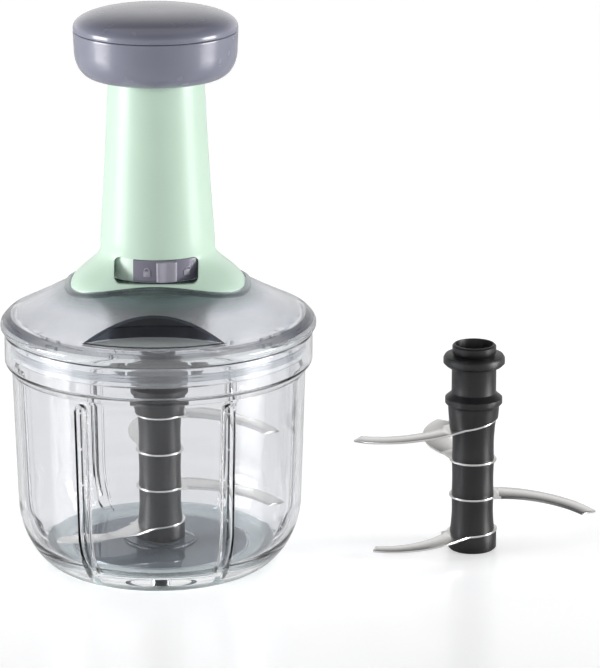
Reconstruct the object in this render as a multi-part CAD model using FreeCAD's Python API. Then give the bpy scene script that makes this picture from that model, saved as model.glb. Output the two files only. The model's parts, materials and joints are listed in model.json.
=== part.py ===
import FreeCAD, Part
import math
import os

# Hand-pressed food chopper: a clear bowl, a smoke-clear lid that carries a handle column with
# a press knob, a twisted-rod drive with a one-way clutch, the blade unit in the bowl, and a
# second blade unit that stands beside it. Millimetres, +Z up. The origin is the centre of the
# resting face under the bowl.

V = FreeCAD.Vector
ORIGIN = V(0, 0, 0)
UP = V(0, 0, 1)

# ---------------------------------------------------------------- driving dimensions
# Clearances
RUNNING_FIT = 0.06         # radial clearance of every turning or sliding fit
SEAT_GAP = 0.3             # clearance between pieces that only rest near each other
TURNING_GAP = 0.9          # clearance round the drive hub and the blade unit's head
OVERRUN = 1.0              # a cutting tool passes this far through the surface that it opens

# Bowl
RIM_Z = 102.6              # top of the bowl
COLLAR_R = 64.7            # outer radius of the collar that carries the lid
COLLAR_HEIGHT = 16.6       # from the shoulder under the collar up to the rim
COLLAR_PROUD = 2.9         # the collar stands this far outside the shoulder
COLLAR_STEP = 3.6          # height of the slope out to the collar
WALL_DRAFT = 1.8           # the wall leans out by this from the corner to the shoulder
CORNER_Z = 29.0            # height where the bottom corner meets the wall
CORNER_POWER = 1.87        # fullness of the bottom corner
RIM_WALL = 2.3
BOWL_WALL = 2.3
FOOT_INSET = 20.0          # the foot ring's outside is this far inside the bottom corner
FOOT_WALL = 2.6            # width of the foot ring
FOOT_LIFT = 0.5            # the pad stands this far below the foot ring
FLOOR_Z = 9.0              # inner floor
FLOOR_THICK = 3.5
FLOOR_BEND = 12.0          # radial width of the bend from the floor's outer ring up to the wall
FLOOR_RING_WIDTH = 5.0     # outer ring of the floor, round its flat middle
FLOOR_STEP = 1.0           # the ring is this much higher
BOSS_RING_R = 16.0         # low ring on the floor round the blade unit
BOSS_RING_WIDTH = 1.5
PIN_BOSS_R = 8.0
PIN_BOSS_DROP = 2.4
FLUTE_COUNT = 6
FLUTE_HALF = 2.5           # half width of a groove
FLUTE_DEPTH = 2.6
FLUTE_WALL = 2.1           # plastic behind and beside the groove
FLUTE_DROP = 4.5           # centre of a groove's round top under the shoulder
FLUTE_LOW_GAP = 0.4        # a groove ends this far outside the floor's ring

# Pad under the bowl
PAD_DISC = 1.6
PAD_RIM = 4.0
PAD_CHAMFER = 0.5
PAD_STUD_WALL = 1.0        # the stud stands this far out and in from the pin boss

# Centre pin and the tube that turns on it
PIN_R = 3.0
PIN_LENGTH = 37.0          # over the floor
PIN_SUNK = 5.0
TUBE_WALL = 1.5

# Blade units
UNIT_LIFT = 0.3            # the unit's foot over the floor
UNIT_TOP_GAP = 0.7         # the mounted unit under the drive hub
BLADE_COUNT = 4
BLADE_FIRST = 7.6          # height of the lowest blade in the unit
TOP_BLADE_DROP = 9.7       # highest blade under the lower flange
BLADE_THICK = 0.8
BLADE_CLEAR = 6.7          # a blade's tip from the bowl's wall
BLADE_STRETCH = 1.5        # the second blade is this much longer
LOW_BLADE_CUT = 5.0        # the lowest arm is this much shorter and clears the bowl's corner
BLADE_RING_R = 10.1        # the blade's ring shows outside the spacers
LOW_RING_PROUD = 0.35      # the lowest blade's ring outside the foot
BLADE_BEND = 12.0          # distance from the axis where the arm is bent down
ARM_BACK = 8.5             # rear edge of the arm at its root
ARM_FRONT = 6.0            # front edge of the arm at its root
EDGE_BEVEL = 2.2           # width of the ground cutting edge
POST_LOW_R = 10.4          # foot and the lowest spacer's lower end
POST_R = 9.5               # other spacer ends
POST_WAIST_R = 8.85        # slimmest place of the spacers
POST_HIGH_R = 9.95         # under the head
FOOT_CHAMFER = 0.8
LOWER_FLANGE_R = 12.2
NECK_R = 9.5
NECK_LENGTH = 16.4         # from the lower flange's underside to the upper one's
UPPER_FLANGE_R = 13.1
FLANGE_THICK = 4.6
HEAD_HEIGHT = 9.3          # from the upper flange's underside to the top
SOCKET_R = 8.0
SOCKET_WALL = 1.35
SOCKET_DEPTH = 14.5
SOCKET_DOGS = 4
DOG_WIDTH = 2.6
DOG_REACH = 1.7
SPARE_DISTANCE = 67.1      # axis of the spare unit from the lid's bead
SPARE_Y = 15.0

# Lid
LID_GAP = 0.3              # lid over the bowl's rim
LID_EDGE_PROUD = 0.3       # lid's lower edge outside the collar
BEAD_PROUD = 1.6           # lid's bead outside the collar
BEAD_LOW = 1.4
BEAD_HIGH = 3.2
LID_WALL = 2.2
DOME_INSET = 0.5           # the dome starts this far inside the collar's outer radius
DOME_START_RISE = 5.5      # and this far over the lid's lower face
DOME_RISE = 20.9
DOME_SWELL = 1.1           # the slope bulges by this in its middle
DOME_HOLLOW = 1.5          # and is this much lower towards the rim
CROWN_R = 22.0             # the dome's slope ends here
CROWN_HOLE_R = 24.2        # hole in the crown, hidden by the column's skirt
SEAT_RING = 10.0           # height of the column's ring that centres the lid's hole
PLUG_GAP = 0.6             # lid's plug inside the bowl's rim
PLUG_WALL = 2.0
PLUG_DEPTH = 9.0
SEAL_LIFT = 2.4            # seal's groove over the plug's lower edge
SEAL_HEIGHT = 3.0
SEAL_GROOVE = 0.9
POCKET_INSET = 9.2         # outer edge of the finger pocket inside the dome's start
POCKET_DEPTH = 17.0        # from that edge to its deepest point towards the column
POCKET_HALF_ANGLE = 31.2
POCKET_FLOOR_RISE = 4.5    # pocket's floor over the lid's lower face
LIP_WALL = 2.0             # lip on the dome round the column's skirt
LIP_HEIGHT = 1.2

# Handle column
NECK_RISE = 12.7           # column's neck over the lid's crown
SHAFT_LENGTH = 67.6        # from the neck to the column's top
COLUMN_TOP_R = 20.0
COLUMN_NECK_R = 23.9
SHAFT_CROWN = 0.28         # how much the shaft's taper bulges
SKIRT_A = 36.6             # half length of the skirt, left to right
SKIRT_B = 28.8             # half depth of the skirt, front to back
SKIRT_POWER = 2.7          # fullness of the skirt's outline
SKIRT_DROP = 20.6          # depth of the flare, from the neck to its edge
SKIRT_DELAY = 4.0          # the flare starts this far below the neck
SKIRT_LEAD = 0.88          # the front and back of the flare start a little sooner
SKIRT_STEPS = 9
SHAFT_STEPS = 5
COLUMN_WALL = 2.0
BORE_R = 18.7              # guide bore for the plunger
BORE_WALL = 1.8
SLEEVE_RISE = 12.0         # top of the sleeve over the neck
SLEEVE_FLANGE = 4.0
RIB_COUNT = 4
RIB_WIDTH = 2.2
RIB_REACH = 1.9
GUIDE_HEIGHT = 9.0
GUIDE_SUNK = 0.6           # guide ring under the column's top edge
GUIDE_SEAT = 0.4           # its seat inside the column's wall
WINDOW_HALF = 17.4
WINDOW_DROP = 14.0         # window's lower edge under the neck
WINDOW_HEIGHT = 9.8
WINDOW_CORNER = 2.4
TRACK_LAP = 1.2            # the slider's track runs this far past the window, up and down
TRACK_HALF_ANGLE = 62.0

# Drive housing under the lid
HOUSING_R = 20.4
HOUSING_LENGTH = 25.5      # its skirt, from the web down
HOUSING_SKIRT_WALL = 2.2
CHAMBER_WALL = 6.2         # from the housing's outside to its upper chamber
RETAINER_DROP = 15.9       # underside of the ring that keeps the drive hub in, under the web
RETAINER_THICK = 3.1
RETAINER_SCREWS = 3
RETAINER_SCREW_INSET = 2.4 # from the skirt's inside
WEB_DROP = 15.8            # underside of the web under the lid's crown
WEB_THICK = 3.0
HOUSING_RIM_R = 31.0       # the housing's rim under the dome
HOUSING_WALL = 2.0
HOUSING_RIM = 3.0          # height of the rim
HOUSING_EDGE = 0.6         # chamfer of its edges
CONE_FOOT = 5.0            # height of the slope under the cone
CONE_STEP = 3.0            # and its width
BUSH_R = 8.0
BUSH_FLANGE = 1.2
BUSH_FLANGE_PROUD = 1.6
SCREW_COUNT = 4
SCREW_R = 1.1
SCREW_BITE = 7.0           # length of thread in the plastic
SCREW_HEAD_R = 2.1
SCREW_HEAD = 1.4
SCREW_SLOT = 0.6

# Plunger, knob and stroke
STROKE = 45.0
TUBE_R = 14.2
PLUNGER_WALL = 2.0
CATCH_DROP = 4.0           # underside of the plunger's flange under the window's upper edge
NUT_FLANGE = 3.0
NUT_HUB = 12.0
KNOB_GAP = 0.8             # knob over the column's top
KNOB_MAX_R = 34.1
KNOB_FLOOR_INSET = 9.1     # the knob's flat underside is this much smaller
KNOB_SIDE_DRAFT = 0.3
KNOB_SIDE_RISE = 12.4      # top of the round under the knob
SEAM_RISE = 19.4           # seam between its two shells
SEAM_STEP = 0.4            # chamfer of the lower shell at the seam
CAP_EDGE = 0.6             # upright edge of the cap over the seam
KNOB_HEIGHT = 28.2
KNOB_ROUND = 0.9           # fullness of the round under the knob
CAP_ROUND = 0.8            # fullness of the cap's edge
KNOB_WALL = 2.2
KNOB_HUB_WALL = 3.3
KNOB_HUB = 13.0
KNOB_SCREWS = 3
KNOB_BOSS_R = 2.6
BUFFER_SECTION = 2.4

# Twisted rod, clutch and spring
ROD_R = 4.2
ROD_SPARE = 2.0            # rod over the nut's studs with the knob fully up
LEAD = 30.0
GROOVE_R = 1.35
GROOVE_RISE = 5.5          # lower end of the grooves over the web
STUD_R = 1.0
STUD_ROOT = 1.5            # the stud reaches this far into the nut
HUB_PLATE = 2.3
HUB_SUNK = 0.8             # the rod's foot reaches this far into the hub's stub
STUB_LENGTH = 13.5
TEETH = 12
TOOTH_HEIGHT = 1.6
TOOTH_LENGTH = 4.6
TOOTH_FILL = 0.86          # share of a tooth's pitch that its slope takes
STUB_BORE_R = 4.6
CLUTCH_GAP = 0.3
CLUTCH_EDGE = 1.6          # plate outside the teeth
DRIVER_PLATE = 2.2
DRIVER_HUB_WALL = 2.2
SPRING_WIRE = 1.3
SPRING_TURNS = 6.5
WASHER_THICK = 0.8
CLUTCH_SPRING_WIRE = 0.8
CLUTCH_SPRING_TURNS = 2.5
CLUTCH_SPRING_GAP = 4.0    # its mean radius outside the rod
CLIP_R = 7.0
CLIP_THICK = 1.0
FOOT_OF_ROD_R = 2.6

# Lock slider
SLIDER_TRACK = 1.1         # thickness of its hidden track plate
SLIDER_CLEAR = 0.4         # plate from the sleeve
SLIDER_SUNK = 0.2          # its face inside the column's neck radius
SLIDER_LEFT = -23.5        # degrees from the front, positive to the right
SLIDER_RIGHT = 42.5
SLIDER_HIDDEN = 6.0        # the plate goes on behind the window's right edge, degrees
SLIDER_TRAVEL = 19.0
THUMB_LEFT = 0.5
THUMB_RIGHT = 20.0
THUMB_PROUD = 1.6
THUMB_INSET = 0.5
CATCH_HALF = 6.0           # half width of the catch, degrees
CATCH_PLAY = 2.0           # degrees of play beside it
CATCH_REACH = 1.6          # how far the catch stands into the guide bore
CATCH_THICK = 1.4

# ---------------------------------------------------------------- worked-out places
FRONT = -90.0
SHOULDER_Z = RIM_Z - COLLAR_HEIGHT
SHOULDER_R = COLLAR_R - COLLAR_PROUD
CORNER_R = SHOULDER_R - WALL_DRAFT
FOOT_R = CORNER_R - FOOT_INSET
FLOOR_RING_R = CORNER_R - FLOOR_BEND
FLOOR_FLAT_R = FLOOR_RING_R - FLOOR_RING_WIDTH
FLUTE_TOP_Z = SHOULDER_Z - FLUTE_DROP
FLUTE_LOW_R = FLOOR_RING_R + FLUTE_LOW_GAP
BOWL_MOUTH_R = COLLAR_R - RIM_WALL
PIN_TOP_Z = FLOOR_Z + PIN_LENGTH
TIE_TUBE_R = PIN_R + RUNNING_FIT + TUBE_WALL

LID_Z = RIM_Z + LID_GAP
LID_EDGE_R = COLLAR_R + LID_EDGE_PROUD
BEAD_R = COLLAR_R + BEAD_PROUD
PLUG_R = BOWL_MOUTH_R - PLUG_GAP
DOME_START_R = COLLAR_R - DOME_INSET
DOME_START_Z = LID_Z + DOME_START_RISE
CROWN_Z = DOME_START_Z + DOME_RISE
POCKET_OUT_R = DOME_START_R - POCKET_INSET
POCKET_IN_R = POCKET_OUT_R - POCKET_DEPTH
POCKET_FLOOR_Z = LID_Z + POCKET_FLOOR_RISE

COLUMN_NECK_Z = CROWN_Z + NECK_RISE
COLUMN_TOP_Z = COLUMN_NECK_Z + SHAFT_LENGTH
SLEEVE_R = BORE_R + BORE_WALL
GUIDE_R = COLUMN_TOP_R - COLUMN_WALL - GUIDE_SEAT
WINDOW_LOW_Z = COLUMN_NECK_Z - WINDOW_DROP
WINDOW_TOP_Z = WINDOW_LOW_Z + WINDOW_HEIGHT
SLIDER_IN_R = SLEEVE_R + SLIDER_CLEAR
SLIDER_R = SLIDER_IN_R + SLIDER_TRACK
SLIDER_FACE_R = COLUMN_NECK_R - SLIDER_SUNK

WEB_Z = CROWN_Z - WEB_DROP
HOUSING_WEB_TOP = WEB_Z + WEB_THICK
HOUSING_LOW_Z = WEB_Z - HOUSING_LENGTH
HOUSING_SKIRT_IN = HOUSING_R - HOUSING_SKIRT_WALL
HOUSING_CHAMBER_R = HOUSING_R - CHAMBER_WALL
SCREW_CIRCLE_R = BORE_R + BORE_WALL - SEAT_GAP
RETAINER_Z = WEB_Z - RETAINER_DROP
RETAINER_TOP = RETAINER_Z + RETAINER_THICK
RETAINER_SCREW_CIRCLE_R = HOUSING_SKIRT_IN - RETAINER_SCREW_INSET
SOCKET_COLLAR_R = SOCKET_R + SOCKET_WALL
RETAINER_BORE_R = SOCKET_COLLAR_R + TURNING_GAP
HUB_Z = RETAINER_TOP + SEAT_GAP
HUB_R = HOUSING_CHAMBER_R - TURNING_GAP
TOOTH_OUT_R = HUB_R - CLUTCH_EDGE
TOOTH_IN_R = TOOTH_OUT_R - TOOTH_LENGTH
STUB_R = SOCKET_R - SEAT_GAP
DRIVER_Z = HUB_Z + HUB_PLATE + TOOTH_HEIGHT + CLUTCH_GAP
ROD_LOW_Z = HUB_Z - HUB_SUNK
GROOVE_LOW_Z = HOUSING_WEB_TOP + GROOVE_RISE
FLANGE_Z = WINDOW_TOP_Z - CATCH_DROP
NUT_Z = FLANGE_Z + NUT_FLANGE
STUD_Z = NUT_Z + NUT_HUB / 2
ROD_TOP_Z = STUD_Z + STROKE + ROD_SPARE

UNIT_Z = FLOOR_Z + UNIT_LIFT
UNIT_HEIGHT = HUB_Z - UNIT_TOP_GAP - UNIT_Z
UPPER_FLANGE_H = UNIT_HEIGHT - HEAD_HEIGHT
LOWER_FLANGE_H = UPPER_FLANGE_H - NECK_LENGTH
BLADE_PITCH = (LOWER_FLANGE_H - TOP_BLADE_DROP - BLADE_FIRST) / (BLADE_COUNT - 1)
BLADE_REACH = CORNER_R - BOWL_WALL - BLADE_CLEAR
SPARE_X = BEAD_R + SPARE_DISTANCE

KNOB_LOW_Z = COLUMN_TOP_Z + KNOB_GAP
KNOB_SIDE_Z = KNOB_LOW_Z + KNOB_SIDE_RISE
KNOB_SIDE_R = KNOB_MAX_R - KNOB_SIDE_DRAFT
KNOB_LOW_R = KNOB_MAX_R - KNOB_FLOOR_INSET
SEAM_Z = KNOB_LOW_Z + SEAM_RISE
KNOB_TOP_Z = KNOB_LOW_Z + KNOB_HEIGHT
KNOB_HUB_R = TUBE_R + KNOB_HUB_WALL
KNOB_HUB_TOP = KNOB_LOW_Z + KNOB_HUB
KNOB_SCREW_CIRCLE_R = KNOB_LOW_R - SCREW_HEAD_R - SCREW_R
BUFFER_R = (TUBE_R + COLUMN_TOP_R) / 2

os.makedirs("parts", exist_ok=True)


# ---------------------------------------------------------------- helpers
def turned(points, curves=()):
    """Solid of revolution about Z from (r, z) points; curves replaces the edge that starts at
    the numbered point by a smooth curve through extra points."""
    edges = []
    curves = dict(curves)
    count = len(points)
    for i in range(count):
        start = V(points[i][0], 0, points[i][1])
        end_point = points[(i + 1) % count]
        end = V(end_point[0], 0, end_point[1])
        if i in curves:
            middle = [V(r, 0, z) for r, z in curves[i]]
            spline = Part.BSplineCurve()
            spline.interpolate([start] + middle + [end])
            edges.append(spline.toShape())
        elif start.distanceToPoint(end) > 1e-6:
            edges.append(Part.makeLine(start, end))
    face = Part.Face(Part.Wire(edges))
    return face.revolve(ORIGIN, UP, 360)


def ring(r_in, r_out, z_low, z_high):
    """Plain ring or, with no inner radius, a plain disc."""
    body = Part.makeCylinder(r_out, z_high - z_low, V(0, 0, z_low))
    if r_in > 0:
        body = body.cut(Part.makeCylinder(r_in, z_high - z_low, V(0, 0, z_low)))
    return body


def around(shape, count, start=0.0):
    """Copies of a shape spaced evenly about Z."""
    copies = []
    for i in range(count):
        copy = shape.copy()
        copy.rotate(ORIGIN, UP, start + 360.0 * i / count)
        copies.append(copy)
    return copies


def joined(shapes):
    """Fuses a list of shapes into one."""
    body = shapes[0]
    if len(shapes) > 1:
        body = body.fuse(shapes[1:])
    return body.removeSplitter()


def sector(r_in, r_out, z_low, z_high, from_deg, to_deg):
    """Piece of a ring between two angles, counted from the front, positive to the right."""
    height = z_high - z_low
    outer = Part.makeCylinder(r_out, height, V(0, 0, z_low), UP, to_deg - from_deg)
    inner = Part.makeCylinder(r_in, height, V(0, 0, z_low), UP, 360)
    body = outer.cut(inner)
    body.rotate(ORIGIN, UP, FRONT + from_deg)
    return body


def rounded(shape, radius, wanted):
    """Fillets the edges that the test picks out."""
    edges = [edge for edge in shape.Edges if wanted(edge)]
    if edges:
        return shape.makeFillet(radius, edges)
    return shape


def save(name, shape):
    """Writes one node."""
    if len(shape.Solids) == 1:
        shape = shape.Solids[0]
    shape.exportStep("parts/" + name + ".step")
    print(name, "solids", len(shape.Solids), "volume %.1f" % shape.Volume, "valid", shape.isValid())


# ---------------------------------------------------------------- bowl
def corner_point(share, inset=0.0):
    """Point on the bowl's rounded bottom corner, from the foot (0) to the wall (1)."""
    angle = share * math.pi / 2
    r = FOOT_R + (CORNER_R - FOOT_R) * math.sin(angle) ** (2 / CORNER_POWER)
    z = CORNER_Z * (1 - math.cos(angle) ** (2 / CORNER_POWER))
    return (r - inset * math.sin(angle), max(z, FOOT_LIFT) + inset * math.cos(angle))


def corner_curve(inset=0.0):
    """Points between the ends of the bottom corner."""
    return [corner_point(share, inset) for share in (0.15, 0.3, 0.45, 0.6, 0.75, 0.9)]


def bowl_outside():
    """The bowl as a full block, without its hollow."""
    points = [(0, FOOT_LIFT), (FOOT_R, FOOT_LIFT), (CORNER_R, CORNER_Z), (SHOULDER_R, SHOULDER_Z),
              (COLLAR_R, SHOULDER_Z + COLLAR_STEP), (COLLAR_R, RIM_Z), (0, RIM_Z)]
    return turned(points, {1: corner_curve()})


def bowl_hollow():
    """The space inside the bowl."""
    wall_r = CORNER_R - BOWL_WALL
    ring_z = FLOOR_Z + FLOOR_STEP
    points = [(0, FLOOR_Z), (FLOOR_FLAT_R, FLOOR_Z), (FLOOR_FLAT_R + FLOOR_STEP, ring_z),
              (FLOOR_RING_R, ring_z), (wall_r, CORNER_Z + BOWL_WALL),
              (SHOULDER_R - BOWL_WALL, SHOULDER_Z), (BOWL_MOUTH_R, SHOULDER_Z + COLLAR_STEP),
              (BOWL_MOUTH_R, RIM_Z + OVERRUN), (0, RIM_Z + OVERRUN)]
    span_r = wall_r - FLOOR_RING_R
    span_z = CORNER_Z + BOWL_WALL - ring_z
    bend = []
    for step in (0.25, 0.5, 0.75):
        angle = step * math.pi / 2
        bend.append((FLOOR_RING_R + span_r * math.sin(angle), ring_z + span_z * (1 - math.cos(angle))))
    return turned(points, {3: bend})


def wall_block(inset):
    """Full block inside the wall's outer surface, moved inwards by an inset."""
    points = [(0, FOOT_LIFT + inset), corner_point(0, inset), (CORNER_R - inset, CORNER_Z),
              (SHOULDER_R - inset, SHOULDER_Z), (0, SHOULDER_Z)]
    return turned(points, {1: corner_curve(inset)})


def flute_slot(half, low_r):
    """Upright block with a round top, as wide as a groove or its rib."""
    length = COLLAR_R - low_r
    box = Part.makeBox(length, 2 * half, FLUTE_TOP_Z, V(low_r, -half, 0))
    return box.fuse(Part.makeCylinder(half, length, V(low_r, 0, FLUTE_TOP_Z), V(1, 0, 0)))


def bowl():
    """The clear bowl with its upright grooves, foot ring and low floor rings."""
    shell = bowl_outside().cut(bowl_hollow())
    recess_top = FLOOR_Z - FLOOR_THICK
    recess = ring(0, FOOT_R - FOOT_WALL, 0, recess_top)
    recess = recess.cut(ring(0, PIN_BOSS_R, recess_top - PIN_BOSS_DROP, recess_top))
    shell = shell.cut(recess)
    boss = ring(BOSS_RING_R - BOSS_RING_WIDTH, BOSS_RING_R, FLOOR_Z, FLOOR_Z + FLOOR_STEP)
    rib = flute_slot(FLUTE_HALF + FLUTE_WALL, FLUTE_LOW_R - FLUTE_WALL)
    rib = rib.common(wall_block(0)).cut(wall_block(FLUTE_DEPTH + FLUTE_WALL))
    groove = flute_slot(FLUTE_HALF, FLUTE_LOW_R).cut(wall_block(FLUTE_DEPTH))
    shell = joined([shell, boss] + around(rib, FLUTE_COUNT))
    for tool in around(groove, FLUTE_COUNT):
        shell = shell.cut(tool)
    return shell.cut(ring(0, PIN_R, FLOOR_Z - PIN_SUNK, FLOOR_Z + OVERRUN))


def base_pad():
    """Soft pad in the recess under the bowl; its rim and middle stud stand on the table."""
    top = FLOOR_Z - FLOOR_THICK - SEAT_GAP
    rim_r = FOOT_R - FOOT_WALL - SEAT_GAP
    stud_top = top - PIN_BOSS_DROP
    stud_r = PIN_BOSS_R + PAD_STUD_WALL
    points = [(0, 0), (PIN_BOSS_R - PAD_STUD_WALL, 0), (stud_r, stud_top - PAD_DISC),
              (stud_r, top - PAD_DISC), (rim_r - PAD_RIM, top - PAD_DISC),
              (rim_r - PAD_RIM, 0), (rim_r - PAD_CHAMFER, 0), (rim_r, PAD_CHAMFER), (rim_r, top),
              (PIN_BOSS_R + SEAT_GAP, top), (PIN_BOSS_R + SEAT_GAP, stud_top), (0, stud_top)]
    return turned(points)


def centre_pin():
    """Steel pin moulded into the floor, with a rounded tip."""
    pin = Part.makeCylinder(PIN_R, PIN_TOP_Z - FLOOR_Z + PIN_SUNK, V(0, 0, FLOOR_Z - PIN_SUNK))
    return rounded(pin, PIN_R * 0.6, lambda edge: edge.BoundBox.ZMin > PIN_TOP_Z - 0.01)


# ---------------------------------------------------------------- blade units
class Blade:
    """One blade: where it sits in the unit and how it is set."""

    def __init__(self, name, heading, tilt=0.0, droop=7.0, reach=BLADE_REACH, ring_r=BLADE_RING_R):
        self.name = name
        self.heading = heading
        self.tilt = tilt
        self.droop = droop
        self.reach = reach
        self.ring_r = ring_r


def blade_set(upper_heading, top_heading, top_tilt, top_droop):
    """The four blades of a unit; the two highest are set differently in the two units."""
    return [Blade("bottom", 212, 4.5, 1, BLADE_REACH - LOW_BLADE_CUT, POST_LOW_R + LOW_RING_PROUD),
            Blade("lower", 0, reach=BLADE_REACH + BLADE_STRETCH), Blade("upper", upper_heading, 0, -3),
            Blade("top", top_heading, top_tilt, top_droop)]


def blade_height(index):
    """Height of a blade's underside in its unit."""
    return BLADE_FIRST + BLADE_PITCH * index


def arm_outline(reach):
    """Sickle-shaped arm seen from above, pointing along +X and swept to -Y."""
    tip = V(reach, -reach * 0.17, 0)
    heel = V(reach * 0.88, -reach * 0.285, 0)
    root_x = BLADE_BEND - BLADE_THICK
    back_root = V(root_x, ARM_BACK, 0)
    front_root = V(root_x, -ARM_FRONT, 0)
    back_middle = V(reach * 0.65, ARM_BACK * 0.85, 0)
    front_middle = V(reach * 0.58, -ARM_FRONT * 0.75, 0)
    back = Part.Arc(back_root, back_middle, tip).toShape()
    end = Part.makeLine(tip, heel)
    front = Part.Arc(heel, front_middle, front_root).toShape()
    root = Part.makeLine(front_root, back_root)
    return Part.Wire([back, end, front, root]), (heel, front_middle, front_root)


def blade_arm(item):
    """Arm with its ground edge, bent down where it leaves the flat root."""
    wire, front_points = arm_outline(item.reach)
    arm = Part.Face(wire).extrude(V(0, 0, BLADE_THICK))
    heel, middle, root = front_points
    circle = Part.Arc(heel, middle, root).toShape().Curve
    # the grinding cone leaves a sloping strip along the concave front edge
    cone = Part.makeCone(circle.Radius, circle.Radius + EDGE_BEVEL, BLADE_THICK,
                         circle.Center)
    arm = arm.cut(cone)
    arm.rotate(V(BLADE_BEND, 0, 0), V(0, 1, 0), item.droop)
    return arm


def blade(item, height):
    """Ring and flat root of a blade with its bent arm, centred on the unit's axis."""
    disc = ring(0, item.ring_r, 0, BLADE_THICK)
    root_width = ARM_BACK + ARM_FRONT
    root = Part.makeBox(BLADE_BEND, root_width, BLADE_THICK, V(0, -ARM_FRONT, 0))
    body = joined([disc, root, blade_arm(item)])
    body.rotate(ORIGIN, UP, item.heading)
    body.rotate(ORIGIN, V(0, 1, 0), -item.tilt)
    body = body.cut(ring(0, TIE_TUBE_R, -POST_LOW_R, POST_LOW_R))
    body.translate(V(0, 0, height))
    return body


def half_space(height, tilt, up):
    """Large block over (up is 1) or under (up is 0) a blade's tilted seat."""
    span = 4 * UPPER_FLANGE_R
    tall = 2 * UNIT_HEIGHT
    block = Part.makeBox(2 * span, 2 * span, tall, V(-span, -span, (up - 1) * tall))
    block.rotate(ORIGIN, V(0, 1, 0), -tilt)
    block.translate(V(0, 0, height))
    return block


def over_blade(item, index):
    """Everything over a blade's ring."""
    rise = BLADE_THICK / math.cos(math.radians(item.tilt))
    return half_space(blade_height(index) + rise, item.tilt, 1)


def under_blade(item, index):
    """Everything under a blade's ring."""
    return half_space(blade_height(index), item.tilt, 0)


def spacer(blades, index):
    """Waisted sleeve between one blade and the next; the lowest one widens to the foot."""
    lap = BLADE_PITCH / 4
    z_low = blade_height(index) - lap
    z_high = blade_height(index + 1) + lap
    low_r = POST_LOW_R if index == 0 else POST_R
    high_r = POST_HIGH_R if index == BLADE_COUNT - 2 else POST_R
    waist_share = 0.6 if index == 0 else 0.42
    waist_z = z_low + (z_high - z_low) * waist_share
    points = [(TIE_TUBE_R, z_low), (low_r, z_low), (high_r, z_high), (TIE_TUBE_R, z_high)]
    body = turned(points, {1: [(POST_WAIST_R, waist_z)]})
    return body.common(over_blade(blades[index], index)).common(under_blade(blades[index + 1], index + 1))


def post_foot(blades):
    """Short foot under the lowest blade."""
    top = BLADE_FIRST + BLADE_PITCH / 4
    points = [(TIE_TUBE_R, 0), (POST_LOW_R - FOOT_CHAMFER, 0), (POST_LOW_R, FOOT_CHAMFER),
              (POST_LOW_R, top), (TIE_TUBE_R, top)]
    return turned(points).common(under_blade(blades[0], 0))


def head_outline(low):
    """Outline of the unit's head from its lower end up to the socket's floor."""
    flange_low = LOWER_FLANGE_H
    flange_top = UPPER_FLANGE_H + FLANGE_THICK
    chamfer = 1.2
    soft = 0.7
    return [(TIE_TUBE_R, low), (POST_HIGH_R, low), (LOWER_FLANGE_R - chamfer, flange_low - chamfer),
            (LOWER_FLANGE_R, flange_low), (LOWER_FLANGE_R, flange_low + FLANGE_THICK / 2),
            (NECK_R, flange_low + FLANGE_THICK), (NECK_R, UPPER_FLANGE_H - soft),
            (UPPER_FLANGE_R - chamfer, UPPER_FLANGE_H), (UPPER_FLANGE_R, UPPER_FLANGE_H + chamfer),
            (UPPER_FLANGE_R, flange_top - chamfer), (UPPER_FLANGE_R - soft, flange_top),
            (SOCKET_COLLAR_R - soft, flange_top), (SOCKET_COLLAR_R, flange_top + chamfer),
            (SOCKET_COLLAR_R, UNIT_HEIGHT - soft), (SOCKET_COLLAR_R - soft, UNIT_HEIGHT),
            (SOCKET_R, UNIT_HEIGHT), (SOCKET_R, UNIT_HEIGHT - SOCKET_DEPTH),
            (TIE_TUBE_R, UNIT_HEIGHT - SOCKET_DEPTH)]


def post_socket(blades):
    """Head of the unit: flanged neck with the socket that the drive stub enters."""
    last = BLADE_COUNT - 1
    body = turned(head_outline(blade_height(last) - BLADE_PITCH / 4))
    socket_floor = UNIT_HEIGHT - SOCKET_DEPTH
    plug = ring(0, TIE_TUBE_R, LOWER_FLANGE_H + FLANGE_THICK, socket_floor)
    dog = Part.makeBox(DOG_REACH + SOCKET_WALL / 2, DOG_WIDTH, SOCKET_DEPTH - 2 * SOCKET_WALL,
                       V(SOCKET_R - DOG_REACH, -DOG_WIDTH / 2, socket_floor))
    body = joined([body, plug] + around(dog, SOCKET_DOGS, 45))
    return body.common(over_blade(blades[last], last))


def tie_tube():
    """Steel tube up the middle of the unit, closed by the head, that turns on the centre pin."""
    return ring(PIN_R + RUNNING_FIT, TIE_TUBE_R, SEAT_GAP, LOWER_FLANGE_H + FLANGE_THICK)


def blade_unit(prefix, blades, place):
    """Writes every piece of one blade unit."""
    pieces = {"post_foot": post_foot(blades), "post_socket": post_socket(blades),
              "tie_tube": tie_tube()}
    for index, item in enumerate(blades):
        pieces["blade_" + item.name] = blade(item, blade_height(index))
    for index in range(BLADE_COUNT - 1):
        pieces["spacer_" + blades[index].name] = spacer(blades, index)
    for name, shape in pieces.items():
        shape.translate(place)
        save(prefix + name, shape)


# ---------------------------------------------------------------- lid
def dome_line(depth):
    """Points down the dome, from rim to crown, a given depth under its outer surface."""
    run = DOME_START_R - CROWN_R
    rise = CROWN_Z - DOME_START_Z
    points = []
    for share in (0.0, 0.14, 0.32, 0.5, 0.7, 0.86, 1.0):
        # a nearly straight slope, hollow near the rim and rounded near the crown
        swell = (DOME_SWELL - DOME_HOLLOW * (1 - share)) * math.sin(math.pi * share)
        r = DOME_START_R - run * share
        z = DOME_START_Z + rise * share + swell
        slope = math.atan2(rise, run)
        points.append((r - depth * math.sin(slope), z - depth * math.cos(slope)))
    return points


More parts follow.
